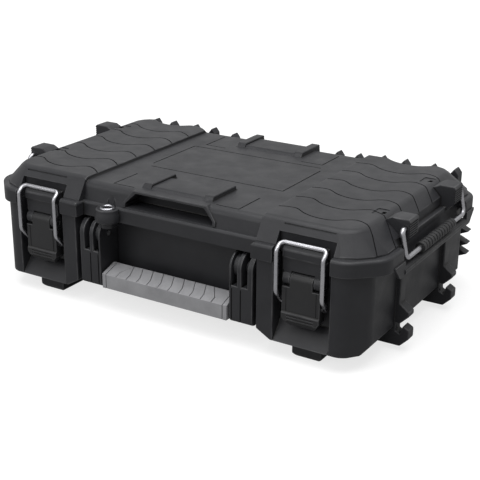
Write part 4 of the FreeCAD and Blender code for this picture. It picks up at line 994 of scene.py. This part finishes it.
@dataclass
class Assembly:
    """What all sub-assemblies share: the frame, the finishes and how a piece is handed over.

    Attributes:
        frame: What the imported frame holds.
        finishes: The finishes of the case.
    """

    frame: dict
    finishes: Finishes

    def hand_over(self, piece: bpy.types.Object, body: str, slot: str, *nodes: str) -> None:
        """Dress a finished piece, let it ride on its body and stand for its nodes.

        Args:
            piece: The finished piece.
            body: The body it moves with.
            slot: Its material slot.
            nodes: The nodes it stands for.
        """
        self.finishes.dress(piece, slot)
        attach(piece, body)
        if nodes:
            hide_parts(*nodes)
        LOG.info("%s rides on %s with %d faces", piece.name, body, len(piece.data.polygons))

    def keep_node(self, node: str, slot: str) -> None:
        """Leave a node as it is and give it a finish.

        Args:
            node: The node that stays.
            slot: Its material slot.
        """
        self.finishes.dress(self.frame["nodes"][node], slot)
        LOG.info("%s stays as built", node)


@dataclass
class MouldedShells(Assembly):
    """The base, the lid and the handle's frame, with softened moulded edges.

    Attributes:
        softener: How the edges are rounded.
    """

    softener: EdgeSoftener = field(default_factory=lambda: EdgeSoftener(least=0.6 * MM))

    def moulding(self, node: str, name: str) -> bpy.types.Object:
        """A merged copy of a node with rounded edges.

        Args:
            node: The node to copy.
            name: The new piece's name.

        Returns:
            The finished moulding.
        """
        piece = merged_copy(self.frame["nodes"][node], name)
        self.softener.soften(piece)
        smooth(piece)
        return piece

    def build(self) -> None:
        """Make and hand over the three mouldings."""
        self.hand_over(self.moulding("base_shell", "base_moulding"), "base", "shell_plastic", "base_shell")
        self.hand_over(self.moulding("lid_shell", "lid_moulding"), "lid", "shell_plastic", "lid_shell")
        frame = self.moulding("handle_frame", "handle_arms")
        self.hand_over(frame, "handle", "shell_plastic", "handle_frame")


@dataclass
class LatchPair(Assembly):
    """The two draw latches: levers with softened edges and raised side lines, wires and pins.

    Attributes:
        line_in: How far the raised side lines lie in from the lever's sides.
        line_width: Their width.
        line_height: How far they stand out.
        line_round: The rounding of their edges.
        line_low: Where they start, up from the lever's lower end.
        line_high: Where they end.
        face_depth: How far the lever's plate lies behind its foremost point.
        softener: How the edges are rounded.
    """

    line_in: float = 4.6 * MM
    line_width: float = 1.1 * MM
    line_height: float = 0.7 * MM
    line_round: float = 0.25 * MM
    line_low: float = 17.5 * MM
    line_high: float = 45.5 * MM
    face_depth: float = 1.4 * MM
    softener: EdgeSoftener = field(default_factory=lambda: EdgeSoftener(width=0.9 * MM))

    def side_line(self, x: float, low: Vector) -> bpy.types.Object:
        """A raised line up one side of the lever's face.

        Args:
            x: Where its left edge lies.
            low: The lever's lowest corner.

        Returns:
            The line, sunk a little into the face.
        """
        face = low.y + self.face_depth
        start = Vector((x, face - self.line_height, low.z + self.line_low))
        end = Vector((x + self.line_width, face + self.line_height, low.z + self.line_high))
        line = add_block("side_line", start, end)
        apply_modifier(line, "BEVEL", width=self.line_round, segments=2, limit_method="ANGLE")
        return line

    def lever(self) -> bpy.types.Object:
        """The right-hand lever, softened, with its two raised lines.

        Returns:
            The finished lever.
        """
        low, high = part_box("right_latch_lever")
        piece = merged_copy(self.frame["nodes"]["right_latch_lever"], "right_lever_plate")
        self.softener.soften(piece)
        lines = [
            self.side_line(low.x + self.line_in, low),
            self.side_line(high.x - self.line_in - self.line_width, low),
        ]
        piece = join_pieces([piece] + lines, "right_lever_plate")
        smooth(piece)
        return piece

    def build(self) -> None:
        """Make and hand over both latches."""
        right = self.lever()
        left = mirrored(right, "left_lever_plate")
        smooth(left)
        for piece, side in ((right, Side.RIGHT), (left, Side.LEFT)):
            self.hand_over(piece, f"{side.word}_lever", "latch_plastic", f"{side.word}_latch_lever")
            self.keep_node(f"{side.word}_latch_bail", "bright_steel")
            self.keep_node(f"{side.word}_latch_pin", "pin_steel")


@dataclass
class CarryGrip(Assembly):
    """The grey grip: a bar whose sloping front top is scored into a row of slanted scales.

    Attributes:
        slope_start: The height of the front face, from the grip's underside.
        slope_depth: How far back the slope runs.
        edge_cut: The cut on the grip's rear edges.
        bend_share: The share of the slope below the bend of each score line.
        scale_count: How many scales lie on the slope.
        score_half: Half the width of a score line.
        score_depth: The depth of a score line.
        lean: How far a score line leans along the grip above its bend.
        end_lean: How far the first and last lines lean.
        collar: The length of the plain collar at each end.
        softener: How the edges are rounded.
    """

    slope_start: float = 19.0 * MM
    slope_depth: float = 19.0 * MM
    edge_cut: float = 6.0 * MM
    bend_share: float = 0.45
    scale_count: int = 11
    score_half: float = 0.45 * MM
    score_depth: float = 1.2 * MM
    lean: float = -4.5 * MM
    end_lean: float = 7.0 * MM
    collar: float = 6.0 * MM
    softener: EdgeSoftener = field(default_factory=lambda: EdgeSoftener(width=1.0 * MM))

    def bar(self, low: Vector, high: Vector) -> bpy.types.Object:
        """The grip's plain section between two corners.

        Args:
            low: The lowest corner.
            high: The highest corner.

        Returns:
            The bar.
        """
        piece = add_block("grip_cover", low, high)
        rise = high.z - low.z - self.slope_start
        cut = self.edge_cut
        cut_away(piece, (0.0, low.y, low.z + self.slope_start), (0.0, -rise, self.slope_depth))
        cut_away(piece, (0.0, high.y, high.z - cut), (0.0, 1.0, 1.0))
        cut_away(piece, (0.0, high.y, low.z + cut), (0.0, 1.0, -1.0))
        return piece

    def score(self, piece: bpy.types.Object, place: Vector, lean: float, run: float, part: Callable) -> None:
        """Draw one stretch of a score line across the faces that a test picks.

        Args:
            piece: The grip.
            place: A point of the line.
            lean: How far the line leans along the grip over its run.
            run: How far back it runs.
            part: The test for the faces it crosses.
        """
        with editing(piece, "EDGE"):
            choose_faces(piece, part)
            bpy.ops.mesh.bisect(plane_co=place, plane_no=(run, -lean, 0.0))
            bpy.ops.mesh.mark_seam(clear=False)

    def groove(self, piece: bpy.types.Object) -> None:
        """Widen all score lines into strips and sink them.

        Args:
            piece: The scored grip.
        """
        with editing(piece, "EDGE"):
            form = bmesh.from_edit_mesh(piece.data)
            for edge in [item for item in form.edges if item.seam]:
                edge.select_set(True)
            bmesh.update_edit_mesh(piece.data)
            bpy.ops.mesh.bevel(offset=self.score_half, segments=1, affect="EDGES", clamp_overlap=False)
            bpy.ops.mesh.select_mode(type="FACE")
            bpy.ops.mesh.extrude_region_shrink_fatten(TRANSFORM_OT_shrink_fatten={"value": -self.score_depth})

    def score_all(self, piece: bpy.types.Object, low: Vector, high: Vector) -> None:
        """Draw every line of the grip: the bent lines on the slope and one round each end.

        Args:
            piece: The plain bar.
            low: Its lowest corner.
            high: Its highest corner.
        """
        bend_y = low.y + self.slope_depth * self.bend_share
        bend_run = low.y + self.slope_depth - bend_y

        def on_slope(centre: Vector, normal: Vector) -> bool:
            """True for the sloping front top."""
            return normal.y < -0.2 and normal.z > 0.2

        def below(centre: Vector, normal: Vector) -> bool:
            """True for the slope below its bend."""
            return on_slope(centre, normal) and centre.y < bend_y

        def above(centre: Vector, normal: Vector) -> bool:
            """True for the slope above its bend."""
            return on_slope(centre, normal) and centre.y > bend_y

        def anywhere(centre: Vector, normal: Vector) -> bool:
            """True for the grip's skin, its two ends left out."""
            return abs(normal.x) < 0.5

        with editing(piece):
            choose_faces(piece, on_slope)
            bpy.ops.mesh.bisect(plane_co=(0.0, bend_y, 0.0), plane_no=(0.0, 1.0, 0.0))
        start = low.x + self.collar
        pitch = (high.x - low.x - 2 * self.collar) / self.scale_count
        for index in range(1, self.scale_count):
            x = start + index * pitch
            lean = {1: self.end_lean, self.scale_count - 1: -self.end_lean}.get(index, self.lean)
            self.score(piece, Vector((x, bend_y, 0.0)), 0.0, bend_run, below)
            self.score(piece, Vector((x, bend_y, 0.0)), lean, bend_run, above)
        for x in (start, high.x - self.collar):
            self.score(piece, Vector((x, 0.0, 0.0)), 0.0, 1.0, anywhere)

    def build(self) -> None:
        """Make and hand over the grip."""
        low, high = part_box("handle_grip")
        grip = self.bar(low, high)
        self.score_all(grip, low, high)
        self.groove(grip)
        recalculate(grip)
        self.softener.soften(grip)
        smooth(grip)
        self.hand_over(grip, "handle", "grip_plastic", "handle_grip")


@dataclass
class SideBails(Assembly):
    """The two side bails with their ribbed sleeves.

    Attributes:
        rib_count: How many ribs a sleeve has between its collars.
        collar: The length of the plain collar at each end of a sleeve.
        rib_share: The share of the pitch that a rib takes.
        rib_depth: How far the ribs stand out.
        rib_round: The rounding of the ribs' edges.
        sides: How many sides the round has.
    """

    rib_count: int = 11
    collar: float = 6.0 * MM
    rib_share: float = 0.66
    rib_depth: float = 1.2 * MM
    rib_round: float = 0.4 * MM
    sides: int = 40

    def sleeve(self) -> bpy.types.Object:
        """The right-hand sleeve, a round bar cut into bands whose ribs are drawn outwards.

        Returns:
            The finished sleeve.
        """
        low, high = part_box("right_bail_sleeve")
        middle = (low + high) / 2
        radius = (high.z - low.z) / 2
        length = high.y - low.y
        piece = add_rod("right_sleeve_ribs", middle, radius - self.rib_depth, length, self.sides)
        pitch = (length - 2 * self.collar) / self.rib_count
        cuts = [low.y + self.collar, high.y - self.collar]
        for index in range(self.rib_count):
            start = low.y + self.collar + pitch * (index + (1 - self.rib_share) / 2)
            cuts += [start, start + pitch * self.rib_share]
        for cut in cuts:
            with editing(piece, start="SELECT"):
                bpy.ops.mesh.bisect(plane_co=(0.0, cut, 0.0), plane_no=(0.0, 1.0, 0.0))

        def on_rib(centre: Vector, normal: Vector) -> bool:
            """True for the round faces of the collars and ribs."""
            if abs(normal.y) > 0.5:
                return False
            inside = centre.y - low.y - self.collar
            if inside < 0.0 or centre.y > high.y - self.collar:
                return True
            return abs(inside / pitch % 1.0 - 0.5) < self.rib_share / 2

        with editing(piece):
            choose_faces(piece, on_rib)
            bpy.ops.mesh.extrude_region_shrink_fatten(TRANSFORM_OT_shrink_fatten={"value": self.rib_depth})
        with editing(piece, start="SELECT"):
            bpy.ops.mesh.remove_doubles(threshold=WELD)
            bpy.ops.mesh.normals_make_consistent(inside=False)
        apply_modifier(piece, "BEVEL", width=self.rib_round, segments=2, limit_method="ANGLE")
        smooth(piece)
        return piece

    def build(self) -> None:
        """Make and hand over both bails."""
        right = self.sleeve()
        left = mirrored(right, "left_sleeve_ribs")
        smooth(left)
        for piece, side in ((right, Side.RIGHT), (left, Side.LEFT)):
            self.hand_over(piece, f"{side.word}_bail", "sleeve_rubber", f"{side.word}_bail_sleeve")
            self.keep_node(f"{side.word}_side_bail", "bright_steel")


@dataclass
class SmallMetal(Assembly):
    """The hinge and handle pins, the eyelets and the seal."""

    def build(self) -> None:
        """Give the small pieces their finishes."""
        for side in Side:
            self.keep_node(f"{side.word}_hinge_pin", "pin_steel")
            self.keep_node(f"{side.word}_handle_pin", "pin_steel")
        self.keep_node("lid_padlock_eyelet", "bright_steel")
        self.keep_node("base_padlock_eyelet", "bright_steel")
        self.keep_node("lid_seal", "seal_rubber")


@dataclass(frozen=True)
class Lamp:
    """A soft square lamp.

    Attributes:
        name: Its name.
        place: Where it hangs.
        size: The width of its face.
        power: Its power in watts.
    """

    name: str
    place: Point
    size: float
    power: float

    def hang(self, target: Vector) -> None:
        """Hang the lamp so that it faces a point.

        Args:
            target: The point that it faces.
        """
        data = bpy.data.lights.new(self.name, "AREA")
        data.size = self.size
        data.energy = self.power
        lamp = bpy.data.objects.new(self.name, data)
        lamp.location = self.place
        lamp.rotation_euler = (target - Vector(self.place)).to_track_quat("-Z", "Y").to_euler()
        bpy.context.scene.collection.objects.link(lamp)


@dataclass(frozen=True)
class Studio:
    """The pale floor, the soft lights and the camera.

    Attributes:
        target: The point that the camera looks at.
        distance: How far the camera stands from it.
        azimuth: The camera's angle round the case, in degrees from the front.
        elevation: Its angle above the floor, in degrees.
        roll: Its turn about its own line of sight, in degrees.
        lens: Its focal length in millimetres.
        sensor: The width of its sensor in millimetres.
        floor_size: The width of the floor.
        floor_tone: The floor's own tone.
        floor_glow: What the eye sees of the floor beyond its own tone, near the case.
        floor_far: The same further out.
        far_range: The distances between which the one becomes the other.
        world_light: The strength of the even light from all round.
        floor_mirror: How much of the floor's glow shows in reflections.
        world_mirror: How much of the white background shows in reflections.
        lamps: The soft lamps.
    """

    target: Point = (0.00734, -0.00082, 0.06092)
    distance: float = 1.3885
    azimuth: float = 31.39
    elevation: float = 20.86
    roll: float = 0.39
    lens: float = 78.82
    sensor: float = 36.0
    floor_size: float = 12.0
    floor_tone: float = 0.32
    floor_glow: float = 0.74
    floor_far: float = 1.0
    far_range: tuple[float, float] = (0.6, 2.4)
    world_light: float = 0.32
    floor_mirror: float = 0.1
    world_mirror: float = 0.6
    lamps: tuple[Lamp, ...] = (
        Lamp("top_lamp", (0.2, -0.3, 2.4), 2.4, 74.0),
        Lamp("front_lamp", (0.2, -2.0, 2.1), 1.6, 12.0),
        Lamp("low_lamp", (-1.1, -2.1, 1.1), 1.2, 12.0),
    )

    def camera(self) -> None:
        """Set up the camera."""
        data = bpy.data.cameras.new("camera")
        data.lens = self.lens
        data.sensor_width = self.sensor
        camera = bpy.data.objects.new("camera", data)
        turn = (
            Matrix.Rotation(math.radians(self.azimuth), 4, "Z")
            @ Matrix.Rotation(math.radians(90.0 - self.elevation), 4, "X")
            @ Matrix.Rotation(math.radians(self.roll), 4, "Z")
        )
        back = turn.to_3x3() @ Vector((0.0, 0.0, self.distance))
        camera.matrix_world = Matrix.Translation(Vector(self.target) + back) @ turn
        bpy.context.scene.collection.objects.link(camera)
        bpy.context.scene.camera = camera

    def floor(self) -> None:
        """Lay the pale floor, white to the eye further out, with the case's shadow near it."""
        deselect_all()
        bpy.ops.mesh.primitive_plane_add(size=self.floor_size, location=(0.0, 0.0, 0.0))
        floor = bpy.context.object
        floor.name = "floor"
        material = bpy.data.materials.new("floor")
        material.use_nodes = True
        tree = material.node_tree
        tree.nodes.clear()
        place = add_node(tree, "TexCoord").outputs["Object"]
        away = add_node(tree, "VectorMath", {0: place}, operation="LENGTH").outputs["Value"]
        near, far = self.far_range
        ends = {"From Min": near, "From Max": far, "To Min": self.floor_glow, "To Max": self.floor_far}
        rise = add_node(tree, "MapRange", {"Value": away, **ends}).outputs["Result"]
        seen = self.seen(tree, 0.0, 1.0, self.floor_mirror)
        level = add_node(tree, "Math", {0: rise, 1: seen}, operation="MULTIPLY")
        glow = add_node(tree, "Emission", {"Strength": level.outputs[0]})
        matt = add_node(tree, "BsdfDiffuse", {"Color": (self.floor_tone,) * 3 + (1.0,)})
        both = add_node(tree, "AddShader", {0: matt.outputs[0], 1: glow.outputs[0]})
        add_node(tree, "OutputMaterial", {"Surface": both.outputs[0]})
        floor.data.materials.append(material)

    def world(self) -> None:
        """White behind the case, and even light from all round."""
        world = bpy.data.worlds.new("studio")
        bpy.context.scene.world = world
        world.use_nodes = True
        tree = world.node_tree
        tree.nodes.clear()
        seen = self.seen(tree, self.world_light, 1.0, self.world_mirror)
        back = add_node(tree, "Background", {"Color": (1.0, 1.0, 1.0, 1.0), "Strength": seen})
        add_node(tree, "OutputWorld", {"Surface": back.outputs[0]})

    def seen(
        self, tree: bpy.types.NodeTree, hidden: float, shown: float, mirror: float
    ) -> bpy.types.NodeSocket:
        """How bright the background is: full to the eye, and partly so in reflections.

        Args:
            tree: The node tree of the floor or the world.
            hidden: The brightness as a light on the case.
            shown: The brightness to the eye.
            mirror: The share of it that reflections show.

        Returns:
            The brightness.
        """
        rays = add_node(tree, "LightPath").outputs
        mirrored_rays = {0: rays["Is Glossy Ray"], 1: rays["Is Transmission Ray"]}
        either = add_node(tree, "Math", mirrored_rays, operation="MAXIMUM").outputs[0]
        part = add_node(tree, "Math", {0: either, 1: mirror}, operation="MULTIPLY").outputs[0]
        share = add_node(tree, "Math", {0: part, 1: rays["Is Camera Ray"]}, operation="MAXIMUM")
        ends = {"Value": share.outputs[0], "To Min": hidden, "To Max": shown}
        return add_node(tree, "MapRange", ends).outputs["Result"]

    def build(self) -> None:
        """Set up the whole studio."""
        bpy.context.scene.view_settings.view_transform = "Standard"
        self.world()
        self.floor()
        for lamp in self.lamps:
            lamp.hang(Vector(self.target))
        self.camera()


def main() -> None:
    """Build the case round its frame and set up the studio."""
    logging.basicConfig(level=logging.INFO, format="%(name)s: %(message)s")
    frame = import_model()
    finishes = Finishes()
    for kind in (MouldedShells, LatchPair, CarryGrip, SideBails, SmallMetal):
        kind(frame, finishes).build()
    Studio().build()


if __name__ == "__main__":
    main()
